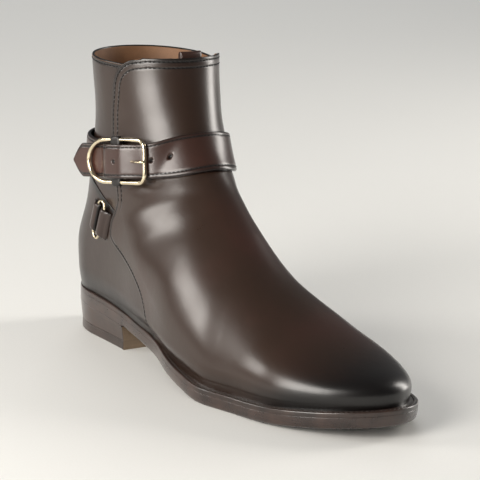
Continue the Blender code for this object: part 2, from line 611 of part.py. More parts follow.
# Chape: leather folded round the bar, as tall as the frame
chape_half = Vector((CHAPE_LENGTH / 2, rail + WIRE_RADIUS + CHAPE_LEATHER, WIRE_RADIUS + CHAPE_LEATHER))
rows = []
for height in np.linspace(-1, 1, 7):
    ease = 1 - 0.12 * abs(height) ** 6
    row = []
    for turn in 2 * pi * (np.arange(12) + 0.5) / 12:
        a = np.sign(cos(turn)) * abs(cos(turn)) ** 0.5 * chape_half.x * ease
        n = np.sign(sin(turn)) * abs(sin(turn)) ** 0.5 * chape_half.z * ease
        row.append(tuple(on_buckle(a, height * chape_half.y, n)))
    rows.append(row)
faces = band(7, 12, closed_rows=False) + [tuple(range(12)), tuple(range(72, 84))]
chape = solid("buckle_chape", rows, faces, CALF)
boolean(chape, tube("frame_clearance", frame_points, WIRE_RADIUS + GAP, BRASS), "DIFFERENCE")
boolean(chape, tube("bar_clearance", bar_points, WIRE_RADIUS + GAP, BRASS, closed=False), "DIFFERENCE")

# Prong: from the chape up through a hole of the strap, over the square end's bar
prong_over = WIRE_RADIUS + GAP + PRONG_RADIUS
prong_path = [on_buckle(a, 0.0, n) for a, n in
              ((CHAPE_LENGTH / 2 + GAP + PRONG_RADIUS, -0.0002), (0.3 * SQUARE_REACH, -0.0001),
               (0.5 * SQUARE_REACH, 0.0004), (0.66 * SQUARE_REACH, 0.0013), (0.82 * SQUARE_REACH, prong_over),
               (SQUARE_REACH, prong_over + 0.0002), (SQUARE_REACH + 0.0022, prong_over))]
tube("buckle_prong", [tuple(p) for p in prong_path], PRONG_RADIUS, BRASS, closed=False)
slot = tube("prong_slot", [tuple(on_buckle(a, 0.0, n)) for a, n in
                           ((CHAPE_LENGTH / 2 + 0.0006, -0.0002), (0.3 * SQUARE_REACH, -0.0001),
                            (0.5 * SQUARE_REACH, 0.0004), (0.66 * SQUARE_REACH, 0.0013),
                            (0.82 * SQUARE_REACH, prong_over), (SQUARE_REACH, prong_over + 0.0002),
                            (SQUARE_REACH + 0.0032, prong_over))], PRONG_RADIUS + GAP, CALF, closed=False)
boolean(strap, slot, "DIFFERENCE")

# Side rings: ovals that lie on the upper below the strap
RING_ALONG, RING_SLANT = 0.166, radians(18)


def side_point(y, z, side, stand):
    """A point at a distance outside the upper, from the slopes of its half width."""
    small = 0.0005
    centre, half = half_width(np.array([y, y + small, y]), np.array([z, z, z + small]))
    x = centre + side * half
    normal = Vector((side, -side * (x[1] - x[0]) / small, -side * (x[2] - x[0]) / small)).normalized()
    return Vector((x[0], y, z)) + normal * stand


for side, name in ((-1, "side_ring_lateral"), (1, "side_ring_medial")):
    oval = []
    for turn in 2 * pi * np.arange(28) / 28:
        long = RING_LENGTH / 2 * np.sign(cos(turn)) * abs(cos(turn)) ** 0.8
        short = RING_WIDTH / 2 * np.sign(sin(turn)) * abs(sin(turn)) ** 0.8
        y = place(RING_ALONG) - long * sin(RING_SLANT) + short * cos(RING_SLANT)
        z = RING_HEIGHT + long * cos(RING_SLANT) + short * sin(RING_SLANT)
        oval.append(tuple(side_point(float(y), float(z), side, RING_WIRE_RADIUS + GAP)))
    tube(name, oval, RING_WIRE_RADIUS, BRASS, sides=6)

# Pull tab: a strip folded over inside the front of the collar
tab_rows = []
tab_across = np.linspace(-1, 1, 7) * TAB_WIDTH / 2
thick = 2 * TAB_LEATHER + 2 * GAP
bend = thick / 2
profile = [(GAP, -TAB_DEPTH), (GAP, TAB_RISE - bend)]
for turn in np.linspace(0, pi, 7)[1:-1]:
    profile.append((GAP + bend * (1 - cos(turn)), TAB_RISE - bend * (1 - sin(turn))))
profile += [(GAP + thick, TAB_RISE - bend), (GAP + thick, -TAB_DEPTH),
            (3 * GAP + TAB_LEATHER, -TAB_DEPTH), (3 * GAP + TAB_LEATHER, TAB_RISE - bend - 0.001),
            (GAP + TAB_LEATHER, TAB_RISE - bend - 0.001), (GAP + TAB_LEATHER, -TAB_DEPTH)]
for x in tab_across:
    row = []
    for depth, rise in profile:
        z = COLLAR_FRONT_HEIGHT + rise
        front = np.interp(min(z, COLLAR_FRONT_HEIGHT), RIDGE_Z, RIDGE_Y)
        lean = SHAFT_LEAN * (z - 0.06)
        row.append((lean + x, front + UPPER_WALL + LAP + 0.0004 + depth + x * x / 0.055, z))
    tab_rows.append(row)
count = len(profile)
faces = band(len(tab_rows), count, closed_rows=False)
faces += [tuple(range(count)), tuple(range((len(tab_rows) - 1) * count, len(tab_rows) * count))]
solid("pull_tab", tab_rows, faces, CALF)
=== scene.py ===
"""Right jodhpur boot: its leathers, seams, fittings and studio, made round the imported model.

Metres throughout. The toe points along -Y, +X is the inner side of the foot, the ground is z = 0.
"""
from math import cos, pi, radians, sin

import bmesh
import bpy
import numpy as np
from mathutils import Matrix, Vector


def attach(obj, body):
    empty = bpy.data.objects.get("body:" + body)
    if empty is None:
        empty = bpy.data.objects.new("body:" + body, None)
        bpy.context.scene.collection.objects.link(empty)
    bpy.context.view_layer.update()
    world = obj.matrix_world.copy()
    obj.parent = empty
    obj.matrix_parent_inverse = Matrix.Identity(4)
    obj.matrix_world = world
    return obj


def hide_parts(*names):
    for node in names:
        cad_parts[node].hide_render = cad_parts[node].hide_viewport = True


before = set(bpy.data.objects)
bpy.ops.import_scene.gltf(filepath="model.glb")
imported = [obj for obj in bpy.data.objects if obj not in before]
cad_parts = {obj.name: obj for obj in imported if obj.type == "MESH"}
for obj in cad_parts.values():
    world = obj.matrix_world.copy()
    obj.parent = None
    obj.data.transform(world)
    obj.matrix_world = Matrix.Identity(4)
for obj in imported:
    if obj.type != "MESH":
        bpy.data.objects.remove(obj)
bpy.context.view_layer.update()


# The last and the insole. The last is the wooden form that a boot is made over; its tables give the plan
# of the sole and the heights of the underside. The insole is vegetable-tanned leather cut to that plan,
# with a thin tan sock stuck on it.
LENGTH, BALL_WIDTH, HEEL_WIDTH, HEEL_BACK = 0.304, 0.0964, 0.0648, 0.034
SEAT_LIFT, TOE_SPRING, GAP = 0.0194, 0.0086, 0.0003
WELT_REACH, WELT_REACH_HEEL, WELT_THICKNESS = 0.0058, 0.0012, 0.0032
OUTSOLE_THICKNESS, INSOLE_THICKNESS = 0.0064, 0.0026
UPPER_WALL, LAP = 0.0022, 0.0008
TOE_ROUND, TOE_POWER, HEEL_ROUND, HEEL_POWER = 0.22, 2.3, 0.13, 2.2
# columns: along, centre, half of heel width, half of ball width, overhang, of seat lift, of toe spring
STATIONS = np.array((
    (0.00, 0.000, 0.492, 0.000, 0.10, 1.000, 0.00),
    (0.12, 0.000, 0.500, 0.000, 0.14, 0.935, 0.00),
    (0.25, -0.018, 0.492, 0.000, 0.38, 0.800, 0.00),
    (0.33, -0.045, 0.400, 0.056, 0.66, 0.640, 0.00),
    (0.40, -0.073, 0.260, 0.146, 0.86, 0.480, 0.00),
    (0.50, -0.090, 0.000, 0.398, 0.38, 0.265, 0.00),
    (0.56, -0.076, 0.000, 0.450, 0.00, 0.150, 0.00),
    (0.64, -0.044, 0.000, 0.495, -0.32, 0.000, 0.00),
    (0.72, 0.022, 0.000, 0.500, -0.42, 0.000, 0.00),
    (0.80, 0.062, 0.000, 0.498, -0.45, 0.000, 0.12),
    (0.90, 0.100, 0.000, 0.449, -0.48, 0.000, 0.47),
    (1.00, 0.128, 0.000, 0.391, -0.52, 0.000, 1.00),
)).T


def smoothstep(x, low, high):
    """0 below low, 1 above high, and 3t^2 - 2t^3 between."""
    t = np.clip((x - low) / (high - low), 0, 1)
    return t * t * (3 - 2 * t)


def bell(x, middle, width):
    return np.exp(-((x - middle) / width) ** 2)


def unit(vectors):
    return vectors / np.maximum(np.linalg.norm(vectors, axis=-1, keepdims=True), 1e-12)


def run_of(path):
    """Length along a path from its start to each of its points."""
    return np.concatenate([[0], np.cumsum(np.linalg.norm(np.diff(path, axis=0), axis=1))])


def read_at(at, run, values):
    """The columns of values, known at the places run, read at other places."""
    return np.stack([np.interp(at, run, column) for column in values.T], -1)


def curve(xs, ys, level=True, blur=0.0):
    """Cubic through the points, read from a fine table. Level: it lies flat where the slope changes sign.

    blur, as a share of the range, averages the table with a bell curve, which takes out its kinks.
    """
    step = np.diff(xs)
    slope = np.diff(ys) / step
    tangent = np.concatenate([slope[:1], 0 * slope[1:], slope[-1:]])
    if level:
        same = slope[:-1] * slope[1:] > 0
        before, after = 2 * step[1:] + step[:-1], step[1:] + 2 * step[:-1]
        weight = before[same] / slope[:-1][same] + after[same] / slope[1:][same]
        tangent[1:-1][same] = (before + after)[same] / weight
    else:
        tangent[1:-1] = (slope[:-1] * step[1:] + slope[1:] * step[:-1]) / (step[1:] + step[:-1])
    x = np.linspace(xs[0], xs[-1], 4000)
    i = np.clip(np.searchsorted(xs, x) - 1, 0, len(step) - 1)
    t = (x - xs[i]) / step[i]
    table = ((1 + 2 * t) * (1 - t) ** 2 * ys[i] + t * (1 - t) ** 2 * step[i] * tangent[i]
             + t * t * (3 - 2 * t) * ys[i + 1] + t * t * (t - 1) * step[i] * tangent[i + 1])
    if blur:
        reach = int(4000 * blur * 3)
        weights = np.exp(-0.5 * (np.arange(-reach, reach + 1) / (4000 * blur)) ** 2)
        ends = np.arange(reach, 0, -1)
        padded = np.concatenate([2 * table[0] - table[ends], table, 2 * table[-1] - table[-1 - ends[::-1]]])
        table = np.convolve(padded, weights / weights.sum(), mode="valid")
    return lambda at: np.interp(at, x, table)


def place(along):
    return HEEL_BACK - LENGTH * np.asarray(along)


def share(y):
    return (HEEL_BACK - y) / LENGTH


centre_line = curve(STATIONS[0], STATIONS[1] * BALL_WIDTH, level=False, blur=0.012)
sole_half = curve(STATIONS[0], STATIONS[2] * HEEL_WIDTH + STATIONS[3] * BALL_WIDTH, level=False, blur=0.012)
overhang = curve(STATIONS[0], STATIONS[4] * WELT_REACH, blur=0.02)
underside = curve(STATIONS[0], STATIONS[5] * SEAT_LIFT + STATIONS[6] * TOE_SPRING)


def welt_reach(s):
    return WELT_REACH_HEEL + (WELT_REACH - WELT_REACH_HEEL) * smoothstep(s, 0.28, 0.5)


def welt_top(s):
    return underside(s) + WELT_THICKNESS + GAP + OUTSOLE_THICKNESS


def seat(s):
    return welt_top(s) + GAP


def plan(turn, inset=0.0, last=1.0):
    """Station, x and y round the sole's plan, set in by a distance; turn runs 0 to 2 pi from the heel's back.

    The half width is the table's times (1 - t^p)^(1/2) at the toe and at the heel.
    """
    t = last * (1 - np.cos(turn)) / 2
    inset = inset(t) if callable(inset) else inset
    y = HEEL_BACK - inset - (LENGTH - 2 * inset) * t
    s = share(y)
    toe = np.clip((t - 1 + TOE_ROUND) / TOE_ROUND, 0, 1)
    heel = np.clip((HEEL_ROUND - t) / HEEL_ROUND, 0, 1)
    half = (sole_half(s) - inset) * np.sqrt((1 - toe ** TOE_POWER) * (1 - heel ** HEEL_POWER))
    return s, centre_line(s) - half * np.sign(np.sin(turn)), y


def grid_faces(rows, columns, wrap_rows=False, wrap_columns=False, first=0):
    """Quads between neighbours of a grid; a wrapped direction joins its last line to its first."""
    index = first + np.arange(rows * columns).reshape(rows, columns)
    if wrap_rows:
        index = np.vstack([index, index[:1]])
    if wrap_columns:
        index = np.hstack([index, index[:, :1]])
    return np.stack([index[:-1, :-1], index[:-1, 1:], index[1:, 1:], index[1:, :-1]], -1).reshape(-1, 4)


def add(name, data):
    """A new object in the scene, at the origin."""
    made = bpy.data.objects.new(name, data)
    bpy.context.scene.collection.objects.link(made)
    return made


def piece(name, points, faces, look, node, marks=None, merge=False):
    """A smooth mesh object on the boot: its points and faces, and named marks with a value per point."""
    mesh = bpy.data.meshes.new(name)
    points = np.asarray(points, float).reshape(-1, 3)
    mesh.from_pydata(points.tolist(), [], faces if isinstance(faces, list) else faces.tolist())
    for mark, values in (marks or {}).items():
        made = mesh.attributes.new(mark, "FLOAT", "POINT")
        made.data.foreach_set("value", np.asarray(values, np.float32).ravel())
    if merge:
        work = bmesh.new()
        work.from_mesh(mesh)
        bmesh.ops.remove_doubles(work, verts=work.verts, dist=1e-6)
        work.to_mesh(mesh)
        work.free()
    mesh.polygons.foreach_set("use_smooth", np.full(len(mesh.polygons), True))
    mesh.materials.append(look)
    mesh.update()
    made = add(name, mesh)
    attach(made, "root")
    if node:
        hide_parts(node)
    return made


class Dye:
    """A value in a material. Arithmetic on it adds Math nodes; node() adds any other node."""

    def __init__(self, tree, socket=None):
        self.tree, self.socket = tree, socket

    def node(self, kind, settings=None, inputs=None, output=0):
        made = self.tree.nodes.new(kind)
        for name, value in (settings or {}).items():
            setattr(made, name, value)
        for name, value in (inputs or {}).items():
            if isinstance(value, Dye):
                self.tree.links.new(value.socket, made.inputs[name])
            else:
                made.inputs[name].default_value = value
        return Dye(self.tree, made.outputs[output])

    def math(self, operation, *values):
        return self.node("ShaderNodeMath", {"operation": operation}, dict(enumerate(values)))

    def __add__(self, other):
        return self.math("ADD", self, other)

    def __sub__(self, other):
        return self.math("SUBTRACT", self, other)

    def __rsub__(self, other):
        return self.math("SUBTRACT", other, self)

    def __mul__(self, other):
        return self.math("MULTIPLY", self, other)

    __radd__, __rmul__ = __add__, __mul__

    def ease(self, low, high):
        """0 to 1 between two values, eased at both ends."""
        return self.node("ShaderNodeMapRange", {"interpolation_type": "SMOOTHSTEP"},
                         {"Value": self, "From Min": low, "From Max": high})

    def blend(self, first, second):
        """first where this value is 0, second where it is 1; both are colours."""
        first, second = ((*c, 1) if isinstance(c, tuple) else c for c in (first, second))
        return self.node("ShaderNodeMix", {"data_type": "RGBA"}, {0: self, 6: first, 7: second}, 2)

    def noise(self, scale, detail=2.0, rough=0.5, at=None):
        inputs = {"Scale": scale, "Detail": detail, "Roughness": rough}
        return self.node("ShaderNodeTexNoise", {}, {"Vector": at or self, **inputs})

    def cells(self, scale):
        return self.node("ShaderNodeTexVoronoi", {"feature": "F1"}, {"Vector": self, "Scale": scale})

    def mark(self, name):
        return self.node("ShaderNodeAttribute", {"attribute_name": name}, output=2)

    def bump(self, height, distance, strength=1.0, under=None):
        inputs = {"Height": height, "Distance": distance, "Strength": strength}
        if under:
            inputs["Normal"] = under
        return self.node("ShaderNodeBump", {}, inputs)


def finish(name):
    """A new material: its shader's sockets and its object coordinates."""
    made = bpy.data.materials.new(name)
    made.use_nodes = True
    shader = made.node_tree.nodes["Principled BSDF"]
    return made, shader, Dye(made.node_tree).node("ShaderNodeTexCoord", output=3)


def feed(shader, **values):
    """Links or sets the shader's sockets, with _ for a space."""
    for name, value in values.items():
        socket = shader.inputs[name.replace("_", " ")]
        if isinstance(value, Dye):
            value.tree.links.new(value.socket, socket)
        else:
            socket.default_value = (*value, 1) if isinstance(value, tuple) else value


def raw_leather(name, light, dark, rough=0.55):
    """Undyed leather: fine pores, a little cloudiness and rubbed patches."""
    made, shader, at = finish(name)
    cloud = at.noise(38, 4, 0.6)
    pores = at.noise(2600, 3, 0.7)
    feed(shader, Base_Color=(cloud * 0.8 + pores * 0.35 - 0.1).ease(0.25, 0.85).blend(dark, light),
         Roughness=rough + cloud * 0.18, Normal=at.bump(pores * 0.7 + cloud, 0.00012, 0.6))
    shader.inputs["Specular IOR Level"].default_value = 0.35
    return made


SOCK = raw_leather("tan_sock", (0.40, 0.20, 0.095), (0.24, 0.11, 0.05))
SOCK_CHAMFER, SOCK_HOLLOW = 0.0005, 0.0012
turn = np.linspace(0, 2 * pi, 280, endpoint=False)
sock_inset = lambda t: welt_reach(t) + UPPER_WALL + LAP + 0.0006
layers = []
for rise, further in ((0.0, 0.0), (INSOLE_THICKNESS - 0.0004, 0.0), (INSOLE_THICKNESS, SOCK_CHAMFER)):
    s, x, y = plan(turn, lambda t: sock_inset(t) + further)
    layers.append(np.stack([x, y, seat(s) + rise], -1))
for inner in np.linspace(0.06, 1.0, 16):
    s, x, y = plan(turn, lambda t: sock_inset(t) + SOCK_CHAMFER)
    x = centre_line(s) + (x - centre_line(s)) * (1 - inner)
    hollow = SOCK_HOLLOW * (1 - (1 - inner) ** 2)
    layers.append(np.stack([x, y, seat(s) + INSOLE_THICKNESS - hollow * smoothstep(s, 0.05, 0.3)], -1))
layers = np.array(layers)
piece("sock", layers, grid_faces(len(layers), len(turn), wrap_columns=True), SOCK, "insole",
      merge=True)


# The upper's form and its lining. Pigskin lines the boot from the collar down, glued inside the calf and
# closed with it at the top edge, so it follows the last one wall inside. It is tan, with darker cloudy
# patches.
INSTEP_HEIGHT, TOE_BOX_HEIGHT, SHAFT_HEIGHT, SHAFT_WIDTH = 0.1255, 0.040, 0.180, 0.0756
COLLAR_FRONT_HEIGHT, COLLAR_STEP, SHAFT_LEAN, FLARE_HEIGHT = 0.1873, 0.0042, 0.034, 0.014
CORNER_RADIUS = 0.018          # rounded top corner of the front panel
# columns: along, of toe box height, of instep height, of collar front height, depth of the turn, its power
RIDGE = np.array((
    (1.000, 1.05, 0.000, 0.000, 0.175, 2.30), (0.920, 1.00, 0.000, 0.000, 0.223, 2.25),
    (0.800, 0.35, 0.270, 0.000, 0.303, 2.10), (0.680, 0.00, 0.527, 0.000, 0.382, 1.90),
    (0.560, 0.00, 0.717, 0.000, 0.462, 1.65), (0.402, 0.00, 0.985, 0.000, 0.478, 1.60),
    (0.386, 0.00, 1.028, 0.000, 0.430, 1.75), (0.346, 0.00, 0.000, 0.801, 0.430, 1.90),
    (0.317, 0.00, 0.000, 0.934, 0.430, 2.00), (0.304, 0.00, 0.000, 1.148, 0.430, 2.00),
)).T
# columns: height, along of the back line, half width of the shaft
SHAFT = np.array((
    (0.10, 0.0020, 0.467), (0.18, -0.0015, 0.467), (0.31, -0.0098, 0.467), (0.47, 0.0174, 0.467),
    (0.61, 0.0250, 0.493), (0.78, 0.0316, 0.500), (1.00, 0.0112, 0.525), (1.25, -0.0020, 0.540),
)).T
ridge_y = place(RIDGE[0])
ridge_z = RIDGE[1] * TOE_BOX_HEIGHT + RIDGE[2] * INSTEP_HEIGHT + RIDGE[3] * COLLAR_FRONT_HEIGHT
ridge_run = run_of(np.stack([ridge_y, ridge_z], -1))
RIDGE_AT = np.linspace(0, ridge_run[-1], 2400)
RIDGE_Y = curve(ridge_run, ridge_y, level=False, blur=0.012)(RIDGE_AT)
RIDGE_Z = curve(ridge_run, ridge_z, level=False, blur=0.012)(RIDGE_AT)
ridge_ty, ridge_tz = np.gradient(RIDGE_Y), np.gradient(RIDGE_Z)
RIDGE_TY, RIDGE_TZ = (t / np.hypot(ridge_ty, ridge_tz) for t in (ridge_ty, ridge_tz))
turn_depth = curve(ridge_run, RIDGE[4] * INSTEP_HEIGHT, blur=0.03)
turn_power = curve(ridge_run, RIDGE[5], blur=0.03)
back_line = curve(SHAFT[0] * SHAFT_HEIGHT, place(SHAFT[1]), blur=0.02)
shaft_half = curve(SHAFT[0] * SHAFT_HEIGHT, SHAFT[2] * SHAFT_WIDTH, blur=0.02)
TOE_TIP = float(place(1.0)) + WELT_REACH
TOE_CLOSE = LENGTH * TOE_ROUND - WELT_REACH + 0.001
FOOT_TOP, SHAFT_FOOT = 0.22 * SHAFT_HEIGHT, 0.67 * SHAFT_HEIGHT
LEAN_FROM, LEAN_FULL = 0.333 * SHAFT_HEIGHT, 0.556 * SHAFT_HEIGHT
COLLAR_FROM, COLLAR_TO = place(0.217), place(0.339)
PANEL_EDGE = float(place(0.196))        # rear edge of the front panel above the strap


def ridge_height(y):
    return np.interp(y, RIDGE_Y, RIDGE_Z)


def flare(y):
    return np.minimum(0.28 * (ridge_height(y) - seat(share(y))), FLARE_HEIGHT)


def half_width(y, z):
    """Centre and half width of the upper at points of its side view.

    The full width blends from the sole's plan, swelling over the flare, to the shaft's width. It closes
    by (1 - a - b - c)^(1/2), where a grows towards the ridge as (1 - distance / depth)^power with the
    distance taken square to the ridge, b towards the toe tip and c towards the back line.
    """
    s, floor, top = share(y), seat(share(y)), ridge_height(y)
    swell = flare(y)
    rise = np.sin(np.clip((z - floor) / swell, 0, 1) * pi / 2)
    feather = sole_half(s) - welt_reach(s)
    foot = feather + (sole_half(s) + overhang(s) - feather) * rise
    blend = smoothstep(z, FOOT_TOP, SHAFT_FOOT) * smoothstep(y, place(0.67), place(0.276))
    full = foot * (1 - blend) + shaft_half(z) * blend
    coarse_y, coarse_z, coarse_at = RIDGE_Y[::12], RIDGE_Z[::12], RIDGE_AT[::12]
    at = coarse_at[np.argmin((y[..., None] - coarse_y) ** 2 + (z[..., None] - coarse_z) ** 2, axis=-1)]
    for _ in range(2):
        ty, tz = np.interp(at, RIDGE_AT, RIDGE_TY), np.interp(at, RIDGE_AT, RIDGE_TZ)
        off_y, off_z = y - np.interp(at, RIDGE_AT, RIDGE_Y), z - np.interp(at, RIDGE_AT, RIDGE_Z)
        distance = np.abs(off_y * tz - off_z * ty)
        at = np.clip(at + off_y * ty + off_z * tz, 0, RIDGE_AT[-1])
    depth = np.minimum(turn_depth(at), top - floor - swell)
    over_ridge = np.clip(1 - distance / depth, 0, 1) ** turn_power(at)
    at_toe = np.clip((TOE_TIP + TOE_CLOSE - y) / TOE_CLOSE, 0, 1) ** TOE_POWER
    behind = HEEL_WIDTH * (0.52 + 0.19 * smoothstep(z, 0.33 * SHAFT_HEIGHT, SHAFT_FOOT))
    at_back = np.clip(1 - (back_line(z) - y) / behind, 0, 1) ** 2.15
    centre = centre_line(s) * (1 - smoothstep(z, 0.33 * SHAFT_HEIGHT, SHAFT_FOOT))
    centre = centre + SHAFT_LEAN * (z - LEAN_FROM) * smoothstep(z, LEAN_FROM, LEAN_FULL)
    return centre, full * np.sqrt(np.clip(1 - over_ridge - at_toe - at_back, 0, 1))


def front_line(y):
    """Top edge of the front panel: a slope that rises towards the front."""
    fall = (COLLAR_FRONT_HEIGHT - SHAFT_HEIGHT - COLLAR_STEP) / (COLLAR_FROM - COLLAR_TO)
    return np.clip(COLLAR_FRONT_HEIGHT - fall * (y - COLLAR_TO), SHAFT_HEIGHT, COLLAR_FRONT_HEIGHT + 0.0006)


def corner(z):
    """How far the front panel's rear edge is rounded off at a height: a quarter circle up to its top."""
    above = np.clip(z - (SHAFT_HEIGHT + COLLAR_STEP + 0.0002 - CORNER_RADIUS), 0, CORNER_RADIUS)
    return CORNER_RADIUS - np.sqrt(CORNER_RADIUS ** 2 - above ** 2)


def collar_line(y):
    """The boot's top edge: the rear panel's level line, or the front panel's corner where that is higher."""
    ahead = np.clip((PANEL_EDGE - y) / CORNER_RADIUS, 0, 1)
    arc = front_line(y) - CORNER_RADIUS * (1 - np.sqrt(ahead * (2 - ahead)))
    return np.maximum(SHAFT_HEIGHT, np.where(y < PANEL_EDGE, arc, 0))


# the middle line from the toe tip up: over the toe it is where the half width reaches zero, then the ridge
close = TOE_TIP + TOE_CLOSE * np.linspace(0, 1, 400) ** 2
ahead_of_toe = RIDGE_Y > TOE_TIP + TOE_CLOSE
line_y = np.concatenate([close, RIDGE_Y[ahead_of_toe]])
line_top = np.concatenate([ridge_height(close), RIDGE_Z[ahead_of_toe]])
level = np.linspace(0, 1, 300)
column_z = seat(share(line_y))[:, None] + (line_top - seat(share(line_y)))[:, None] * level
thick = half_width(np.broadcast_to(line_y[:, None], column_z.shape), column_z)[1] ** 2
last = np.clip(len(level) - 1 - np.argmax((thick > 1e-9)[:, ::-1], axis=1), 1, len(level) - 2)
rows = np.arange(len(line_y))
fall = np.minimum(thick[rows, last] - thick[rows, last - 1], -1e-12)
closing = column_z[rows, last] - thick[rows, last] / fall * (column_z[rows, last] - column_z[rows, last - 1])
line_z = np.where(line_y < TOE_TIP + TOE_CLOSE, np.minimum(closing, column_z[rows, last + 1]), line_top)
line_z[0] = line_z[1] - (line_z[2] - line_z[1])
line_y = np.concatenate([np.full(20, TOE_TIP), line_y])
line_z = np.concatenate([np.linspace(seat(1.0), line_z[0], 21)[:-1], line_z])
below = line_z < front_line(line_y)
end_y = line_y[below][-1]
line_y, line_z = np.append(line_y[below], end_y), np.append(line_z[below], front_line(end_y))
line_run = run_of(np.stack([line_y, line_z], -1))
line_run /= line_run[-1]


def side_view(up, turn, top):
    """y and z of the upper's side view: up runs from 0 at the feather edge to 1 at the top line.

    turn runs from 0 at the back to pi at the ridge. Each row blends the back line's height into the middle
    line's by q^(2 - up), where q is the share of the way forward.
    """
    q = (1 - np.cos(turn)) / 2
    ty, tz = np.interp(up, line_run, line_y), np.interp(up, line_run, line_z)
    zb = seat(0.0) + (SHAFT_HEIGHT - seat(0.0)) * up ** 1.6
    yb = back_line(zb)
    y = yb + (ty - yb) * q
    chord = seat(share(yb)) * (1 - q) + seat(share(ty)) * q
    z = zb + (tz - zb) * q ** (2 - up) + (1 - up) ** 1.5 * (seat(share(y)) - chord)
    lift = top(y) - SHAFT_HEIGHT - (front_line(ty) - SHAFT_HEIGHT) * q
    return y, z + lift * smoothstep(up, 0.85, 1.0)


def on_form(turn, y, z):
    """Points of the upper's outer face at places of its side view; the outer side has turn below pi."""
    centre, half = half_width(y, z)
    return np.stack([centre - np.sign(np.round(np.sin(turn), 9)) * half, y, z], -1)


def last_form(up, turn, top):
    """Points of the upper's outer face. turn goes on past the ridge at pi, round the inner side to 2 pi."""
    return on_form(turn, *side_view(up, turn, top))


def normals_of(points, wrap=False):
    """Outward directions of a grid whose columns run round the boot and whose rows run up."""
    along = np.roll(points, -1, 1) - np.roll(points, 1, 1) if wrap else np.gradient(points, axis=1)
    return unit(np.cross(along, np.gradient(points, axis=0)))


def flank(y, z, side, stand=0.0):
    """Points outside the upper's side at places of its side view, and the directions outward there."""
    y, z = np.asarray(y, float), np.asarray(z, float)
    small = 0.0004
    x = []
    for dy, dz in ((0, 0), (small, 0), (-small, 0), (0, small), (0, -small)):
        centre, half = half_width(y + dy, z + dz)
        x.append(centre + side * half)
    normal = unit(np.stack([np.full(y.shape, float(side)), -side * (x[1] - x[2]) / (2 * small),
                            -side * (x[3] - x[4]) / (2 * small)], -1))
    return np.stack([x[0], y, z], -1) + normal * np.asarray(stand)[..., None], normal


LINING = raw_leather("lining_pigskin", (0.33, 0.175, 0.090), (0.17, 0.088, 0.046), rough=0.5)
up = 1 - (1 - np.linspace(0.04, 1, 150)) ** 1.3
turn = np.linspace(0, 2 * pi, 240, endpoint=False)
outer = last_form(up[:, None], turn[None], collar_line)
outward = normals_of(outer, wrap=True)
lining = outer - outward * (UPPER_WALL + LAP)
lining[-1, :, 2] = outer[-1, :, 2] - 0.0003
rolled = [lining]
for depth, drop in ((0.0024, -0.00005), (0.0019, 0.0), (0.0015, -0.0003)):
    rim = outer[-1] - outward[-1] * depth
    rim[:, 2] = outer[-1, :, 2] + drop
    rolled.append(rim[None])
lining = np.concatenate(rolled)
piece("lining", lining, grid_faces(len(lining), len(turn), wrap_columns=True)[:, ::-1], LINING,
      "upper")


# Front panel and vamp: one piece of burnished calf, lasted wet over the toe and closed to the rear panels
# along its edge, which lies on top of them. Its edge is skived, dyed and rolled, with two rows of stitching
# above the ring and one below.
EDGE_ROLL, LEATHER = 0.00045, 0.0012
ROW_ONE, ROW_TWO, GROOVE, GROOVE_DEPTH = 0.0016, 0.0054, 0.00045, 0.00026
RING_TOP, RING_FOOT = 0.0945, 0.0655        # heights between which the side ring breaks the stitching
# columns: height, along
SIDE_SEAM = np.array((
    (0.15, 0.395), (0.24, 0.365), (0.30, 0.319), (0.345, 0.262), (0.372, 0.221), (0.40, 0.205),
    (0.44, 0.207), (0.49, 0.222), (0.53, 0.231), (0.57, 0.228),
    (0.65, 0.213), (0.75, 0.202), (0.85, 0.196), (1.03, 0.196),
)).T
side_seam = curve(SIDE_SEAM[0] * SHAFT_HEIGHT, place(SIDE_SEAM[1]), blur=0.008)
# soft troughs of the side view, listed one by one. columns: y and z of each end, half width, depth
CREASES = np.array((
    (-0.092, 0.108, -0.052, 0.091, 0.0060, 0.00050), (-0.083, 0.121, -0.050, 0.107, 0.0045, 0.00035),
    (-0.100, 0.090, -0.060, 0.074, 0.0080, 0.00045), (-0.152, 0.064, -0.126, 0.034, 0.0095, 0.00022),
    (-0.172, 0.054, -0.154, 0.031, 0.0080, 0.00014), (-0.064, 0.150, -0.030, 0.141, 0.0080, 0.00035),
))


def calf(name, brown, dark, rough=0.33, coat=0.34, red=(0.045, 0.015, 0.010)):
    """Burnished calf: brown where the mark "burnish" is 0, near black where it is 1, mottled by hand.

    The grain is fine cells; a slow unevenness of the surface breaks the reflections a little.
    """
    made, shader, at = finish(name)
    cloud, drift = at.noise(24, 5, 0.62), at.noise(9, 2, 0.5)
    # This mark darkens the colour for two reasons: the leather's dyed burnishing, and painted shade in the
    # stitch grooves, along the quarter's top edge, round the ring slots, in the strap's holes and along its
    # bend line.
    burnish_and_shade = at.mark("burnish_and_shade") + (cloud - 0.5) * 0.55 + (drift - 0.5) * 0.3
    rubbed = 1 - burnish_and_shade
    ruddy = (drift * 0.7 + cloud * 0.3).ease(0.42, 0.66) * at.math("MAXIMUM", rubbed, 0.0)
    tone = at.math("MINIMUM", ruddy, 1.0).blend(brown, red)
    grain, pores = at.cells(1500), at.noise(900, 3, 0.6)
    uneven = at.bump(at.noise(60, 3, 0.55), 0.0009, 0.20)
    feed(shader, Base_Color=burnish_and_shade.ease(0.05, 0.95).blend(tone, dark),
         Roughness=cloud * 0.24 + pores * 0.06 + (rough - 0.15),
         Coat_Weight=(drift * 0.3 + (coat - 0.15)) * burnish_and_shade.ease(0.5, 1.3).blend((1, 1, 1), (0.2, 0.2, 0.2)),
         Coat_Roughness=0.26, Normal=at.bump(grain * 0.5 + pores, 0.00004, 0.35, under=uneven))
    shader.inputs["Specular IOR Level"].default_value = 0.5
    return made


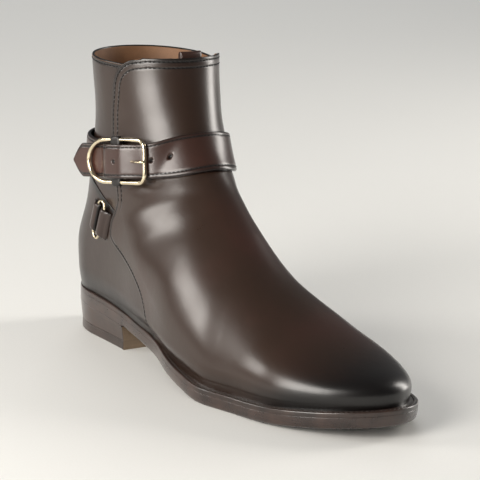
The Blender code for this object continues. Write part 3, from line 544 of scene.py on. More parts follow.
def edge_turn(up, edge, back=0.0):
    """The turn at which each row of the form crosses an edge given as y over z, or a length behind it."""
    turn = np.linspace(0.02, pi - 0.02, 700)
    y, z = side_view(up[:, None], turn[None], front_line)
    beyond = edge(z) + back - y
    last = beyond.shape[1] - 2 - np.argmax((beyond < 0)[:, ::-1][:, 1:], axis=1)
    rows = np.arange(len(up))
    low, high = beyond[rows, last], beyond[rows, last + 1]
    return turn[last] + (turn[1] - turn[0]) * np.clip(-low / (high - low), 0, 1)


def chain_of(grid):
    """The free border of a grid: up its last column, back along its top row and down its first column."""
    return np.concatenate([grid[:, -1], grid[-1, -2::-1], grid[-2::-1, 0]])


def away_from(points, normals):
    """Chain of a panel's border with its outward directions and the directions away from the panel."""
    chain, outward = chain_of(points), chain_of(normals)
    return chain, outward, unit(np.cross(np.gradient(chain, axis=0), outward))


def border_distance(points, chain):
    """Distance of each point of a grid from the chain, measured square to it."""
    along = unit(np.gradient(chain, axis=0))
    rows = []
    for row in points:
        near = np.argmin(((row[:, None] - chain[None]) ** 2).sum(-1), axis=1)
        rows.append(np.linalg.norm(np.cross(row - chain[near], along[near]), axis=1))
    return np.array(rows)


def panel(name, points, normals, look, burnish_and_shade, thick=LEATHER):
    """A leather panel: the grid, then a border rolled over a quarter round and turned under."""
    rows, columns = points.shape[:2]
    chain, outward, away = away_from(points, normals)
    rim = []
    for turn in np.radians((30, 60, 90)):
        rim.append(chain + EDGE_ROLL * (away * np.sin(turn) - outward * (1 - np.cos(turn))))
    rim.append(chain + away * EDGE_ROLL - outward * thick)
    rim.append(chain - away * 0.001 - outward * thick)
    index = np.arange(rows * columns).reshape(rows, columns)[..., None]
    border = chain_of(index)[:, 0]
    rim_index = np.vstack([border, rows * columns + np.arange(5 * len(border)).reshape(5, -1)])
    rim_faces = np.stack([rim_index[:-1, :-1], rim_index[1:, :-1], rim_index[1:, 1:], rim_index[:-1, 1:]],
                         -1).reshape(-1, 4)
    every = np.concatenate([points.reshape(-1, 3), np.array(rim).reshape(-1, 3)])
    edge_burnish = np.tile(np.maximum(chain_of(burnish_and_shade[..., None])[:, 0], 0.9), 5)
    return piece(name, every, np.concatenate([grid_faces(rows, columns), rim_faces]), look, "upper",
                 marks={"burnish_and_shade": np.concatenate([burnish_and_shade.ravel(), edge_burnish])})


def settle(path, points, normals):
    """Drops each point of a path on to a cloud of surface points, square to the surface there."""
    near = np.array([np.argmin(((points - p) ** 2).sum(-1)) for p in path])
    base, outward = points[near], normals[near]
    return path - outward * ((path - base) * outward).sum(-1, keepdims=True), outward


def rows_in(chain, away, distance, chosen, cloud, cloud_normals):
    """Stitch rows a distance in from a border, one for each unbroken run of the chosen points of it."""
    path = chain - away * distance
    clear = np.array([np.sqrt(((chain - p) ** 2).sum(-1).min()) for p in path]) > 0.93 * distance
    chosen = chosen & clear
    runs = np.split(np.arange(len(path)), np.flatnonzero(np.diff(chosen.astype(int))) + 1)
    return [settle(path[run][::2], cloud, cloud_normals) for run in runs if chosen[run[0]] and len(run) > 14]


def stitches(name, paths, look, pitch=0.0028, length=0.0021, thick=0.0010, stand=0.00002):
    """Threads along paths of (points, outward directions): a small spindle at every pitch."""
    lat, lon = np.meshgrid(np.linspace(0, pi, 5), np.arange(6) * pi / 3, indexing="ij")
    spindle = np.stack([np.cos(lat), np.sin(lat) * np.cos(lon), np.sin(lat) * np.sin(lon)], -1)
    points, faces, count = [], [], 0
    for path, outward in paths:
        run = run_of(path)
        at = np.arange(pitch / 2, run[-1], pitch)
        middle, up = read_at(at, run, path), read_at(at, run, outward)
        ahead = unit(read_at(at + 0.0004, run, path) - read_at(at - 0.0004, run, path))
        across = np.cross(up, ahead)
        frame_of = np.stack([ahead * length / 2, across * thick / 2, up * thick / 2], 1)
        threads = (spindle.reshape(-1, 3) @ frame_of) + (middle + up * stand)[:, None]
        base = grid_faces(5, 6, wrap_columns=True)
        faces.append((base[None] + (count + np.arange(len(at)) * 30)[:, None, None]).reshape(-1, 4))
        points.append(threads.reshape(-1, 3))
        count += len(at) * 30
    piece(name, np.concatenate(points), np.concatenate(faces), look, None)


def thread(name, colour, rough=0.5):
    """Waxed thread: two plies twisted, so the light runs slantwise along it."""
    made, shader, at = finish(name)
    twist = at.node("ShaderNodeTexWave", {"bands_direction": "DIAGONAL"},
                    {"Vector": at, "Scale": 900.0, "Distortion": 1.5})
    # The colour halves in the bands between the plies: painted shade of the twist's grooves, on top of the
    # bump.
    feed(shader, Base_Color=twist.ease(0.1, 0.9).blend(tuple(c * 0.5 for c in colour), colour),
         Roughness=rough + twist * 0.1, Normal=at.bump(twist, 0.00005, 0.5))
    return made


def meet_welt(grid):
    """Lowers a panel's bottom row to just under the welt's top."""
    grid[0, :, 2] = np.minimum(grid[0, :, 2], welt_top(share(grid[0, :, 1]))) - 0.00028


CALF = calf("burnished_calf", (0.027, 0.0138, 0.0085), (0.0040, 0.0030, 0.0028))
DARK_THREAD = thread("dark_thread", (0.0060, 0.0045, 0.0040), rough=0.75)
up = 1 - (1 - np.linspace(0, 1, 290)) ** 1.35
seam_turn = edge_turn(up, lambda z: side_seam(z) - corner(z))
across = np.linspace(0, 1, 150) ** 1.7
half_turn = seam_turn[:, None] + (pi - seam_turn)[:, None] * across[None]
turn = np.concatenate([half_turn, (2 * pi - half_turn)[:, -2::-1]], axis=1)
vamp = last_form(up[:, None], turn, front_line)
vamp_normals = normals_of(vamp)
vamp_chain = chain_of(vamp)
vamp_edge = border_distance(vamp, vamp_chain)
y, z = vamp[..., 1], vamp[..., 2]
above_ring = smoothstep(z, 0.086, 0.094)
grooved = bell(vamp_edge, ROW_ONE, GROOVE) + above_ring * bell(vamp_edge, ROW_TWO, GROOVE)
sunk = GROOVE_DEPTH * grooved + 0.00012 * np.exp(-vamp_edge / 0.0010)
for from_y, from_z, to_y, to_z, width, depth in CREASES:
    length = np.hypot(to_y - from_y, to_z - from_z)
    ahead = ((y - from_y) * (to_y - from_y) + (z - from_z) * (to_z - from_z)) / length ** 2
    off = ((y - from_y) * (to_z - from_z) - (z - from_z) * (to_y - from_y)) / length
    sunk += depth * (bell(off, 0, width) - 0.4 * bell(off, 1.9 * width, width)) * bell(ahead, 0.5, 0.55)
vamp = vamp - vamp_normals * sunk[..., None]
low = z - seat(share(y))
# Darker in the stitch grooves, which is painted shade of the grooves. Also darker towards the toe, near the
# welt, along the dyed edge and towards the top.
burnish_and_shade = (0.9 * grooved + 0.85 * smoothstep(-y, 0.185, 0.262) + 0.5 * (1 - smoothstep(low, 0.002, 0.020))
           + 0.5 * np.exp(-vamp_edge / 0.0022) + 0.25 * smoothstep(z, 0.145, 0.185))
meet_welt(vamp)
panel("vamp", vamp, vamp_normals, CALF, np.clip(burnish_and_shade, 0, 1))

chain, outward, away = away_from(vamp, vamp_normals)
near_edge = vamp_edge < 0.009
cloud, cloud_normals = vamp[near_edge], vamp_normals[near_edge]
upper_run = chain[:, 2] > RING_TOP
lower_run = (chain[:, 2] < RING_FOOT) & (chain[:, 2] > 0.026) & (vamp_chain[:, 1] > -0.087)
rows = []
for distance, chosen in ((ROW_ONE, upper_run), (ROW_TWO, upper_run), (ROW_ONE, lower_run)):
    rows += rows_in(chain, away, distance, chosen, cloud, cloud_normals)
stitches("vamp_stitching", rows, DARK_THREAD)


# Rear quarter: one piece of the same calf round the heel, over a stiff counter, closed at the back. The
# front panel laps over its sides; its top edge slants up from the rings to the strap and is left raw and
# dyed, and the near-black band along that edge is also painted shade for the shadow of the lifted edge.
OVERLAP = 0.006                # how far the rear pieces run on under the front panel
# columns: along, height
QUARTER_TOP = np.array(((0.00, 0.640), (0.09, 0.585), (0.13, 0.556), (0.175, 0.512), (0.24, 0.470))).T
quarter_top = curve(QUARTER_TOP[0], QUARTER_TOP[1] * SHAFT_HEIGHT, blur=0.04)


def rise_to(turn, edge):
    """How far up the form each column reaches a top edge given as z over y."""
    up = np.linspace(0.05, 1, 600)
    y, z = side_view(up[:, None], turn[None], level_top)
    short = z - edge(y)
    first = np.maximum(np.argmax(short > 0, axis=0), 1)
    columns = np.arange(len(turn))
    low, high = short[first - 1, columns], short[first, columns]
    return up[first - 1] + (up[1] - up[0]) * np.clip(-low / (high - low), 0, 1)


level_top = lambda y: SHAFT_HEIGHT + 0 * y
top_edge = lambda y: quarter_top(share(y))
span = np.linspace(-1, 1, 260)          # from under one side of the front panel round the back to the other
table_up = np.linspace(0, 1, 200)
end = edge_turn(table_up, side_seam, back=-OVERLAP)
up = rise_to(np.abs(span) * 1.25, top_edge)[None] * (1 - (1 - np.linspace(0, 1, 130)[:, None]) ** 1.5)
turn = np.interp(up, table_up, end) * span[None]
top_up = rise_to(np.abs(turn[-1]), top_edge)
up = up * (top_up / up[-1])[None]
quarter = last_form(up, turn, level_top)
quarter_normals = normals_of(quarter)
quarter_edge = border_distance(quarter, quarter[-1])
quarter = quarter - quarter_normals * (LAP + 0.0001 * np.exp(-quarter_edge / 0.001))[..., None]
low = quarter[..., 2] - seat(share(quarter[..., 1]))
# The strong darkening along the top edge is partly edge dye and partly painted shade of the lifted edge's
# shadow.
burnish_and_shade = (0.35 + 0.4 * (1 - smoothstep(low, 0.002, 0.018)) + 0.9 * np.exp(-quarter_edge / 0.0022)
           + 0.25 * smoothstep(quarter[..., 1], -0.01, 0.03))
meet_welt(quarter)
panel("quarter", quarter, quarter_normals, CALF, np.clip(burnish_and_shade, 0, 1), thick=0.0016)


# Rear panel of the shaft: thinner calf between the quarter and the collar, under both the quarter's top
# edge and the front panel. One row of stitching runs under its top edge.
REAR_ROW = ROW_ONE + 0.0004
low_up = np.maximum(top_up - 0.06, 0.1)
up = low_up[None] + (1 - low_up[None]) * (1 - (1 - np.linspace(0, 1, 110)[:, None]) ** 1.5)
table_up = np.linspace(0.2, 1, 200)
turn = np.interp(up, table_up, edge_turn(table_up, side_seam, back=-2.2 * OVERLAP)) * span[None]
rear = last_form(up, turn, level_top)
rear_normals = normals_of(rear)
rear_edge = border_distance(rear, rear[-1])
grooved = bell(rear_edge, REAR_ROW, GROOVE)
sunk = 2 * LAP + 0.00016 * grooved + 0.0001 * np.exp(-rear_edge / 0.001)
rear = rear - rear_normals * sunk[..., None]
# Darker in the stitch groove, which is painted shade of the groove; the edge is dyed darker.
burnish_and_shade = (0.35 + 0.6 * grooved + 0.5 * np.exp(-rear_edge / 0.002)
           + 0.2 * smoothstep(rear[..., 1], -0.01, 0.03))
panel("shaft_rear", rear, rear_normals, CALF, np.clip(burnish_and_shade, 0, 1))
chain, outward, away = away_from(rear, rear_normals)
top_run = (chain[:, 2] > SHAFT_HEIGHT - 0.0006) & (chain[:, 1] > PANEL_EDGE - 0.004)
near_edge = rear_edge < 0.006
row = settle((chain - away * REAR_ROW)[top_run][::2], rear[near_edge], rear_normals[near_edge])
stitches("shaft_stitching", [row], DARK_THREAD)


# Pull tab: a strip of the calf folded over inside the front of the collar and sewn down, for pulling the
# boot on. It stands a little above the edge.
TAB_WIDTH, TAB_DEPTH, TAB_RISE, TAB_LEATHER = 0.015, 0.018, 0.0028, 0.0019


def outward_faces(points, faces):
    """Faces turned so that the closed mesh holds a positive volume."""
    flat = points.reshape(-1, 3)
    a, b, c = (flat[faces[:, k]] for k in (0, 1, 2))
    return faces if (np.cross(b - a, c - a) * (a - flat.mean(0))).sum() > 0 else faces[:, ::-1]


def tube_faces(points):
    """Outward faces of a tube given as rings of points, with a flat face over each end."""
    rings, sides = points.shape[:2]
    faces = grid_faces(rings, sides, wrap_columns=True)
    turned = outward_faces(points, faces)
    ends = [list(range(sides))[::-1], list(range((rings - 1) * sides, rings * sides))]
    return turned.tolist() + (ends if turned is faces else [end[::-1] for end in ends])


bend = TAB_LEATHER + GAP
fold = np.linspace(0, pi, 15)
outside = [(GAP, -TAB_DEPTH), (GAP, -TAB_DEPTH / 2)]
outside += [(GAP + bend * (1 - cos(t)), TAB_RISE - bend * (1 - sin(t))) for t in fold]
outside += [(GAP + 2 * bend, -TAB_DEPTH / 2), (GAP + 2 * bend, -TAB_DEPTH)]
outside = np.array(outside)
across = np.sin(np.linspace(-pi / 2, pi / 2, 21)) * TAB_WIDTH / 2
soften = np.sqrt(np.clip(1 - (across / (TAB_WIDTH / 2)) ** 16, 0, 1))
middle = np.array([GAP + bend, 0.0])
profile = middle + (outside - middle) * np.stack([0.7 + 0.3 * soften, np.ones(21)], -1)[:, None]
z = COLLAR_FRONT_HEIGHT + profile[..., 1]
front = np.interp(np.minimum(z, COLLAR_FRONT_HEIGHT), RIDGE_Z, RIDGE_Y)
lining_y = front + UPPER_WALL + LAP + 0.0004 + (across ** 2 / 0.055)[:, None]
tab_points = np.stack([SHAFT_LEAN * (z - 0.06) + across[:, None], lining_y + profile[..., 0], z], -1)
TAB_CALF = calf("tab_calf", (0.045, 0.019, 0.013), (0.010, 0.006, 0.005), coat=0.25)
tab_burnish = np.broadcast_to(0.25 + 0.5 * np.abs(across / TAB_WIDTH)[:, None] ** 2, z.shape)
piece("pull_loop", tab_points, tube_faces(tab_points), TAB_CALF, "pull_tab",
      marks={"burnish_and_shade": tab_burnish})


# Welt: a strip of oak-bark leather sewn to the upper and insole in a seam that doesn't show, then to the
# outsole by the row of stitches on its top face. Its top is wheeled between the stitches and stained dark.
STITCH_IN = 0.0024             # stitch row in from the welt's edge


def waxed_edge(name, brown, dark, rough=0.3, layers=0.0, coat=0.5):
    """Sole leather with a dressed edge, stained and waxed over faint layers; bare where marked pale."""
    made, shader, at = finish(name)
    cloud = at.noise(60, 4, 0.6)
    layered = at.node("ShaderNodeMapping", inputs={"Vector": at, "Scale": (12.0, 12.0, 2400.0)})
    lines = layered.noise(1.0, detail=3)
    scuff = at.noise(300, 4, 0.7)
    waxed = (cloud * 0.9 + lines * 0.35 - 0.1).ease(0.3, 0.8).blend(dark, brown)
    plain = (cloud + lines * 0.4).ease(0.3, 1.0).blend((0.13, 0.088, 0.055), (0.27, 0.19, 0.12))
    feed(shader, Base_Color=at.mark("pale").blend(waxed, plain),
         Roughness=cloud * 0.15 + scuff * 0.1 + (rough - 0.1), Coat_Weight=cloud * 0.3 + (coat - 0.15),
         Coat_Roughness=0.18,
         Normal=at.bump(lines * (0.3 + layers) + scuff * 0.3, 0.00008, 0.5,
                        under=at.bump(at.noise(110, 2, 0.5), 0.0005, 0.10)))
    return made


WELT_DYE = waxed_edge("welt_leather", (0.046, 0.024, 0.017), (0.014, 0.0085, 0.007))
turn = np.linspace(0, 2 * pi, 720, endpoint=False)
inner_rim = lambda t: welt_reach(t) + UPPER_WALL + LAP + 0.010
# columns: inset from the edge, below the top
WELT_SECTION = ((inner_rim, 0.0), (0.0046, 0.00002), (0.0036, 0.0), (0.0032, -0.00012),
                (STITCH_IN, -0.00026), (0.0016, -0.0001), (0.0011, 0.0), (0.0006, -0.00004),
                (0.00025, -0.0002), (0.00005, -0.0005), (0.0, -0.0009), (0.0, -0.0022), (0.0, -0.0030),
                (0.00002, -0.00314), (0.0002, -WELT_THICKNESS), (inner_rim, -WELT_THICKNESS))
rings = []
for inset, drop in WELT_SECTION:
    s, x, y = plan(turn, inset)
    rings.append(np.stack([x, y, welt_top(s) + drop], -1))
rings = np.array(rings)
piece("welt_strip", rings, grid_faces(len(rings), len(turn), wrap_rows=True, wrap_columns=True)[:, ::-1],
      WELT_DYE, "welt")
s, x, y = plan(np.linspace(0, 2 * pi, 1500, endpoint=False), STITCH_IN)
row = np.stack([x, y, welt_top(s) - 0.0002], -1)[s > 0.30]
WELT_THREAD = thread("welt_thread", (0.034, 0.023, 0.017))
stitches("welt_stitching", [(row, np.tile([0.0, 0.0, 1.0], (len(row), 1)))], WELT_THREAD,
         pitch=0.0030, length=0.0025, thick=0.0008, stand=0.0001)


# Outsole: bends leather a quarter of an inch thick, sewn to the welt and trimmed flush with it. The edge is
# set with hot wax and glossed, the underside is left plain with a cut channel near the rim.
SOLE_EDGE = waxed_edge("sole_edge", (0.048, 0.025, 0.018), (0.016, 0.009, 0.0075), rough=0.26, coat=0.6)
turn = np.linspace(0, 2 * pi, 640, endpoint=False)
# columns: inset from the edge, of the thickness, rise
SOLE_SECTION = ((0.0010, 1.0, 0.0003), (0.0002, 1.0, 0.0003), (0.00003, 1.0, 0.00026), (0.00002, 1.0, 0.0001),
                (0.00005, 0.5, 0.0), (0.0003, 0.0, 0.0018), (0.0006, 0.0, 0.0008), (0.0010, 0.0, 0.0003),
                (0.0014, 0.0, 0.0))
over_heel = lambda t: 1 - smoothstep(t, 0.250, 0.262)      # there the lower edge stays square
rings = []
for inset, of_thickness, rise in SOLE_SECTION:
    s, x, y = plan(turn, inset if of_thickness else lambda t: inset - (inset - 0.0001) * over_heel(t))
    if of_thickness == 0:
        rise = rise * (1 - 0.9 * over_heel(s))
    rings.append(np.stack([x, y, underside(s) + OUTSOLE_THICKNESS * of_thickness + rise], -1))
inner = [rings[0].copy()] + rings + [rings[-1].copy()]
for k, level in ((0, OUTSOLE_THICKNESS), (-1, 0.0)):
    s, x, y = plan(turn, SOLE_SECTION[k][0])
    inner[k] = np.stack([centre_line(s), y, underside(s) + level], -1)
bottom = []
for inward, cut in ((0.08, 0.0), (0.12, 0.0004), (0.135, 0.0004), (0.15, 0.0), (0.5, 0.0)):
    s, x, y = plan(turn, 0.0014)
    x = x + (centre_line(s) - x) * inward
    bottom.append(np.stack([x, y, underside(s) + cut * smoothstep(s, 0.3, 0.34)], -1))
rings = np.array(inner[:-1] + bottom + inner[-1:])
piece("outsole_leather", rings, grid_faces(len(rings), len(turn), wrap_columns=True)[:, ::-1], SOLE_EDGE,
      "outsole", merge=True)


# Heel: lifts of sole leather, glued, pegged and trimmed to the sole, with the front face cut square and left
# lighter, and a rubber top piece that wears on the ground.
HEEL_LENGTH, TOP_PIECE, HEEL_TAPER = 0.079, 0.006, 0.0016
ROUND_POINTS, BREAST_POINTS = 200, 22
BREAST = float(place(HEEL_LENGTH / LENGTH))


def heel_ring(inset, height):
    """A loop of the heel's plan at an inset: round the back, and straight across the breast."""
    t = np.linspace(0, 1, ROUND_POINTS)
    turn = np.arccos(1 - 2 * (1 - np.cos(pi / 2 * t)) * HEEL_LENGTH / LENGTH)
    s, x, y = plan(turn, inset)
    y = y + (BREAST - y[-1]) * t ** 2
    inner = 2 * centre_line(share(y)) - x
    z = height(share(y))
    breast = (1 - np.cos(pi * np.linspace(0, 1, BREAST_POINTS + 2)[1:-1])) / 2
    across = x[-1] + (inner[-1] - x[-1]) * breast
    front = np.stack([across, np.full(BREAST_POINTS, y[-1]), np.full(BREAST_POINTS, z[-1])], -1)
    return np.concatenate([np.stack([x, y, z], -1), front, np.stack([inner, y, z], -1)[::-1][:-1]])


def heel_piece(name, section, look, node):
    """A heel block: rings from (inset, height function) rows, lowest first, closed at both ends."""
    rings = np.array([heel_ring(inset, height) for inset, height in section])
    last, count = len(rings) - 1, rings.shape[1]
    k = np.arange(ROUND_POINTS - 1)
    bottom = np.stack([k, k + 1, count - k - 1, (count - k) % count], -1)
    faces = np.concatenate([grid_faces(last + 1, count, wrap_columns=True), bottom,
                            bottom[:, ::-1] + last * count])
    pale = np.zeros(rings.shape[:2])
    pale[:, ROUND_POINTS:ROUND_POINTS + BREAST_POINTS] = 1.0
    return piece(name, rings, faces, look, node, marks={"pale": pale})


LIFTS = waxed_edge("heel_lifts", (0.052, 0.028, 0.020), (0.022, 0.0125, 0.0095), layers=0.1)
TOP_RUBBER = waxed_edge("heel_rubber", (0.044, 0.026, 0.020), (0.020, 0.0125, 0.010), rough=0.36, coat=0.35)
JOINT = 0.00004                # glue line over and under the lifts
section = [(HEEL_TAPER + (0.0001 - HEEL_TAPER) * part,
            lambda s, part=part: (TOP_PIECE + JOINT) * (1 - part) + (underside(s) - JOINT) * part)
           for part in np.linspace(0, 1, 25)]
heel_piece("heel_leather", section, LIFTS, "heel_stack")
section = [(HEEL_TAPER + rounded, lambda s, z=z: 0 * s + z)
           for rounded, z in ((0.0006, 0), (0.0002, 0.0003), (0, 0.0008), (0, 0.0052), (0, TOP_PIECE))]
heel_piece("heel_top", section, TOP_RUBBER, "heel_top_piece")


# Side rings: ovals of plated brass wire that join the front panel to the quarter. A tongue of each leather
# is folded round one long side of the ring, so only the ring's two ends show, with a dark slot between.
RING_LENGTH, RING_WIDTH, RING_WIRE = 0.0262, 0.0098, 0.0009
RING_HEIGHT, RING_ALONG, RING_SLANT = 0.079, 0.166, radians(18)
TONGUE_HALF, TONGUE_FOLD = 0.0098, 0.007
# columns: place square to the ring's long axis, height above the upper
TONGUE = np.array(((0.0108, -0.0006), (0.0104, 0.0002), (0.0096, 0.0008), (0.0084, 0.0013), (0.0070, 0.0025),
                   (0.0050, 0.0034), (0.0032, 0.0034), (0.0018, 0.0028), (0.0011, 0.0016), (0.0010, 0.0002)))


def squared(values, power):
    """A circle's sines or cosines pushed towards a rounded square."""
    return np.sign(values) * np.abs(values) ** power


def relax(values, times, weight=1.0):
    """Averages each row with the rows beside it, in place, as many times and as strongly as told."""
    for _ in range(times):
        values[1:-1] += weight * (0.25 * values[:-2] - 0.5 * values[1:-1] + 0.25 * values[2:])


def by_ring(long, short, side, stand):
    """Points over the upper at places along and across the ring's slanting length."""
    y = place(RING_ALONG) - long * sin(RING_SLANT) + short * cos(RING_SLANT)
    z = RING_HEIGHT + long * cos(RING_SLANT) + short * sin(RING_SLANT)
    return flank(y, z, side, stand)[0]


def metal(name, colour, rough=0.16):
    """Plated brass: fine polishing lines and faint tarnish."""
    made, shader, at = finish(name)
    cloud, fine = at.noise(140, 3, 0.6), at.noise(1800, 2, 0.5)
    tarnished = tuple(c * 0.82 for c in colour)
    feed(shader, Base_Color=cloud.ease(0.3, 0.75).blend(tarnished, colour), Metallic=1.0,
         Roughness=cloud * 0.12 + fine * 0.06 + (rough - 0.09), Normal=at.bump(fine, 0.00002, 0.3))
    return made


def wire(path, radius, sides=18, closed=True, flat=1.0):
    """A round wire along a path: rings of points square to it, the wire's face direction kept steady."""
    path = np.asarray(path)
    ahead = np.roll(path, -1, 0) - np.roll(path, 1, 0) if closed else np.gradient(path, axis=0)
    ahead = unit(ahead)
    across = unit(np.cross(ahead, np.linalg.svd(path - path.mean(0))[2][2]))
    face = flat * np.cross(across, ahead)
    turn = (2 * pi * np.arange(sides) / sides)[:, None]
    return path[:, None] + radius * (across[:, None] * np.cos(turn) + face[:, None] * np.sin(turn))


BRASS = metal("pale_brass", (0.90, 0.78, 0.56))
for side, name in ((-1, "side_ring_lateral"), (1, "side_ring_medial")):
    turn = 2 * pi * np.arange(96) / 96
    long, short = RING_LENGTH / 2 * squared(np.cos(turn), 0.8), RING_WIDTH / 2 * squared(np.sin(turn), 0.8)
    points = wire(by_ring(long, short, side, RING_WIRE + GAP), RING_WIRE)
    faces = outward_faces(points, grid_faces(96, 18, True, True))
    piece(name.replace("side_", "brass_"), points, faces, BRASS, name)

tongue = read_at(np.linspace(0, 9, 60), np.arange(10), TONGUE)
relax(tongue, 4)
tongue_short, tongue_stand = tongue.T
long = np.sin(np.linspace(-pi / 2, pi / 2, 41)) * TONGUE_HALF
close_in = np.sqrt(np.clip(1 - (np.abs(long) / TONGUE_HALF) ** 10, 0, 1))
for side, name in ((-1, "ring_tongues_lateral"), (1, "ring_tongues_medial")):
    both = []
    for toward, shorten in ((-1, 1.0), (1, 0.85)):
        short = toward * (tongue_short - (1 - shorten) * np.maximum(tongue_short - TONGUE_FOLD, 0))
        narrow = long[:, None] * (1 - 0.06 * (np.abs(short) / 0.0165))[None]
        stand = 0.0002 + tongue_stand[None] * (0.25 + 0.75 * close_in[:, None])
        both.append(by_ring(narrow, short[None], side, stand))
    faces = grid_faces(41, 60)
    mesh_faces = [faces if side * toward > 0 else faces[:, ::-1] for toward in (-1, 1)]
    mesh_faces[1] = mesh_faces[1] + 41 * 60
    # Darker at the tongues' ends and along their fold into the slot: partly edge dye, partly painted shade of
    # the dark slot and of the notches at the tongue ends.
    edge_dye_and_slot_shade = 0.30 + 0.6 * (1 - close_in[:, None]) + 0.6 * smoothstep(-tongue_short, -0.0022, -0.0012)[None]
    piece(name, np.array(both), np.concatenate(mesh_faces), CALF, None,
          marks={"burnish_and_shade": np.clip(np.array([edge_dye_and_slot_shade, edge_dye_and_slot_shade]), 0, 1)})


# Ankle strap: one belt of firm calf that starts behind the buckle's bar, runs round the back, the inner side
# and the front, and comes back under the buckle's square end, over the bar and under its round end to a free
# point. Its edges are rounded and waxed, sewn close to both edges, with punched holes.
STRAP_WIDTH, STRAP_THICKNESS, STRAP_GAP = 0.0212, 0.0024, 0.0006
STRAP_BACK_HEIGHT, STRAP_RISE = 0.119, 0.013
STRAP_ROW, STRAP_GROOVE, STRAP_POINT = 0.0021, 0.0005, 0.0085     # stitch row in from the edge; free point
WIRE_RADIUS, FRAME_HEIGHT, SQUARE_REACH, ROUND_REACH, TIP_REACH = 0.0014, 0.0264, 0.0252, 0.0262, 0.043
CHAPE_LENGTH, CHAPE_LEATHER, FRAME_CORNER = 0.0088, 0.0009, 0.0055
BUCKLE_AT, BUCKLE_STAND = 0.563, 0.0046
BUCKLE_TURN, BUCKLE_LEAN, BUCKLE_RISE = radians(10), radians(4), radians(9)
HOLES = (0.0045, 0.0314, 0.0432)          # from the centre bar towards the front
STEPS, COLUMNS = 620, 45       # of the belt's grid: along it and over its width
MIDDLE = COLUMNS // 2


def strap_height(q, level):
    """Height of the strap at a share of the way forward, level above its middle."""
    return STRAP_BACK_HEIGHT + STRAP_RISE * q ** 2.6 + level


def strap_skin(turn, level):
    """Points of the upper under the strap: turn round the boot as on the form, level above its middle."""
    q = (1 - np.cos(turn)) / 2
    z = strap_height(q, level)
    return on_form(turn, back_line(z) + (np.interp(z, RIDGE_Z, RIDGE_Y) - back_line(z)) * q, z)


def strap_turn(y, level):
    """The turn at which the strap passes a place along the foot."""
    q = 0.5
    for _ in range(6):
        z = strap_height(q, level)
        q = (back_line(z) - y) / (back_line(z) - np.interp(z, RIDGE_Z, RIDGE_Y))
    return np.arccos(1 - 2 * q)


bar_turn = np.arccos(1 - 2 * BUCKLE_AT)
seat_point = Vector(strap_skin(np.array([bar_turn]), np.array([-0.0006]))[0])
out = Vector((-cos(BUCKLE_TURN), -sin(BUCKLE_TURN), sin(BUCKLE_LEAN))).normalized()
ahead = Vector((sin(BUCKLE_TURN), -cos(BUCKLE_TURN), sin(BUCKLE_RISE)))
ahead = (ahead - out * ahead.dot(out)).normalized()
upward = ahead.cross(out) if ahead.cross(out).z > 0 else out.cross(ahead)
buckle_centre = seat_point + out * BUCKLE_STAND


def on_buckle(along, height, stand):
    """Points of the buckle's own frame: along runs to its square end, stand points away from the boot."""
    amounts = np.broadcast_arrays(along, height, stand)
    return np.array(buckle_centre) + sum(amount[..., None] * np.array(way)
                                         for amount, way in zip(amounts, (ahead, upward, out)))


BILLET_OVER = WIRE_RADIUS + CHAPE_LEATHER + 2 * GAP
BILLET_UNDER = -WIRE_RADIUS - GAP - STRAP_THICKNESS - 0.0002
OVER_CHAPE = CHAPE_LENGTH / 2 + 0.0010
# columns: place along the buckle, height of the strap's free end over the bar's middle
BILLET = np.array((
    (-TIP_REACH - 0.01, BILLET_UNDER), (-TIP_REACH, BILLET_UNDER), (-ROUND_REACH, BILLET_UNDER),
    (-0.60 * ROUND_REACH, 0.97 * BILLET_UNDER), (-OVER_CHAPE, BILLET_OVER), (0.0, BILLET_OVER),
    (OVER_CHAPE, BILLET_OVER), (0.6 * SQUARE_REACH, 0.35 * BILLET_UNDER), (SQUARE_REACH, BILLET_UNDER),
    (SQUARE_REACH + 0.01, BILLET_UNDER),
)).T
billet_stand = curve(*BILLET)
levels = np.sin(np.linspace(-pi / 2, pi / 2, COLUMNS)) * STRAP_WIDTH / 2
start = strap_turn(seat_point.y + CHAPE_LENGTH / 2 + 0.003, levels)
finish_turn = strap_turn(seat_point.y - SQUARE_REACH - 0.004, levels)
part = np.linspace(0, 1, 900)[:, None]
around = start + (finish_turn - 2 * pi - start) * part
belt = strap_skin(around, np.broadcast_to(levels, around.shape))
belt_out = -normals_of(belt[:, ::-1])[:, ::-1]
belt_out *= np.sign((belt_out[450, MIDDLE] * (belt[450, MIDDLE] - belt.mean((0, 1)))).sum())
belt = belt + belt_out * STRAP_GAP
along = np.linspace(SQUARE_REACH + 0.0012, -TIP_REACH, 170)
billet = on_buckle(along[:, None], levels[None], billet_stand(along)[:, None])
belt = np.concatenate([belt, billet])
belt_out = np.concatenate([belt_out, np.broadcast_to(np.array(out), billet.shape)])
run = run_of(belt[:, MIDDLE])
even = np.linspace(0, run[-1], STEPS)
bar_run = run[-1] - TIP_REACH
easing = bell(even, bar_run - SQUARE_REACH - 0.006, 0.010)[1:-1, None, None]     # just ahead of the buckle
belt, belt_out = (read_at(even, run, values.reshape(len(run), -1)).reshape(STEPS, COLUMNS, 3)
                  for values in (belt, belt_out))
for values in (belt, belt_out):
    relax(values, 30)
    relax(values, 160, easing)
belt_out = unit(belt_out)
from_tip = run[-1] - even
taper = 1 - np.clip(1 - from_tip / STRAP_POINT, 0, 1) ** 1.5 * 0.93
middle = belt[:, MIDDLE:MIDDLE + 1]
belt = middle + (belt - middle) * taper[:, None, None]
rounded = np.sqrt(np.clip(1 - (np.abs(levels) / (STRAP_WIDTH / 2)) ** 14, 0, 1))
edge_in = STRAP_WIDTH / 2 - np.abs(levels)
grooved = bell(edge_in, STRAP_ROW, STRAP_GROOVE)
crown = STRAP_THICKNESS * (0.62 + 0.38 * rounded) - GROOVE_DEPTH * grooved
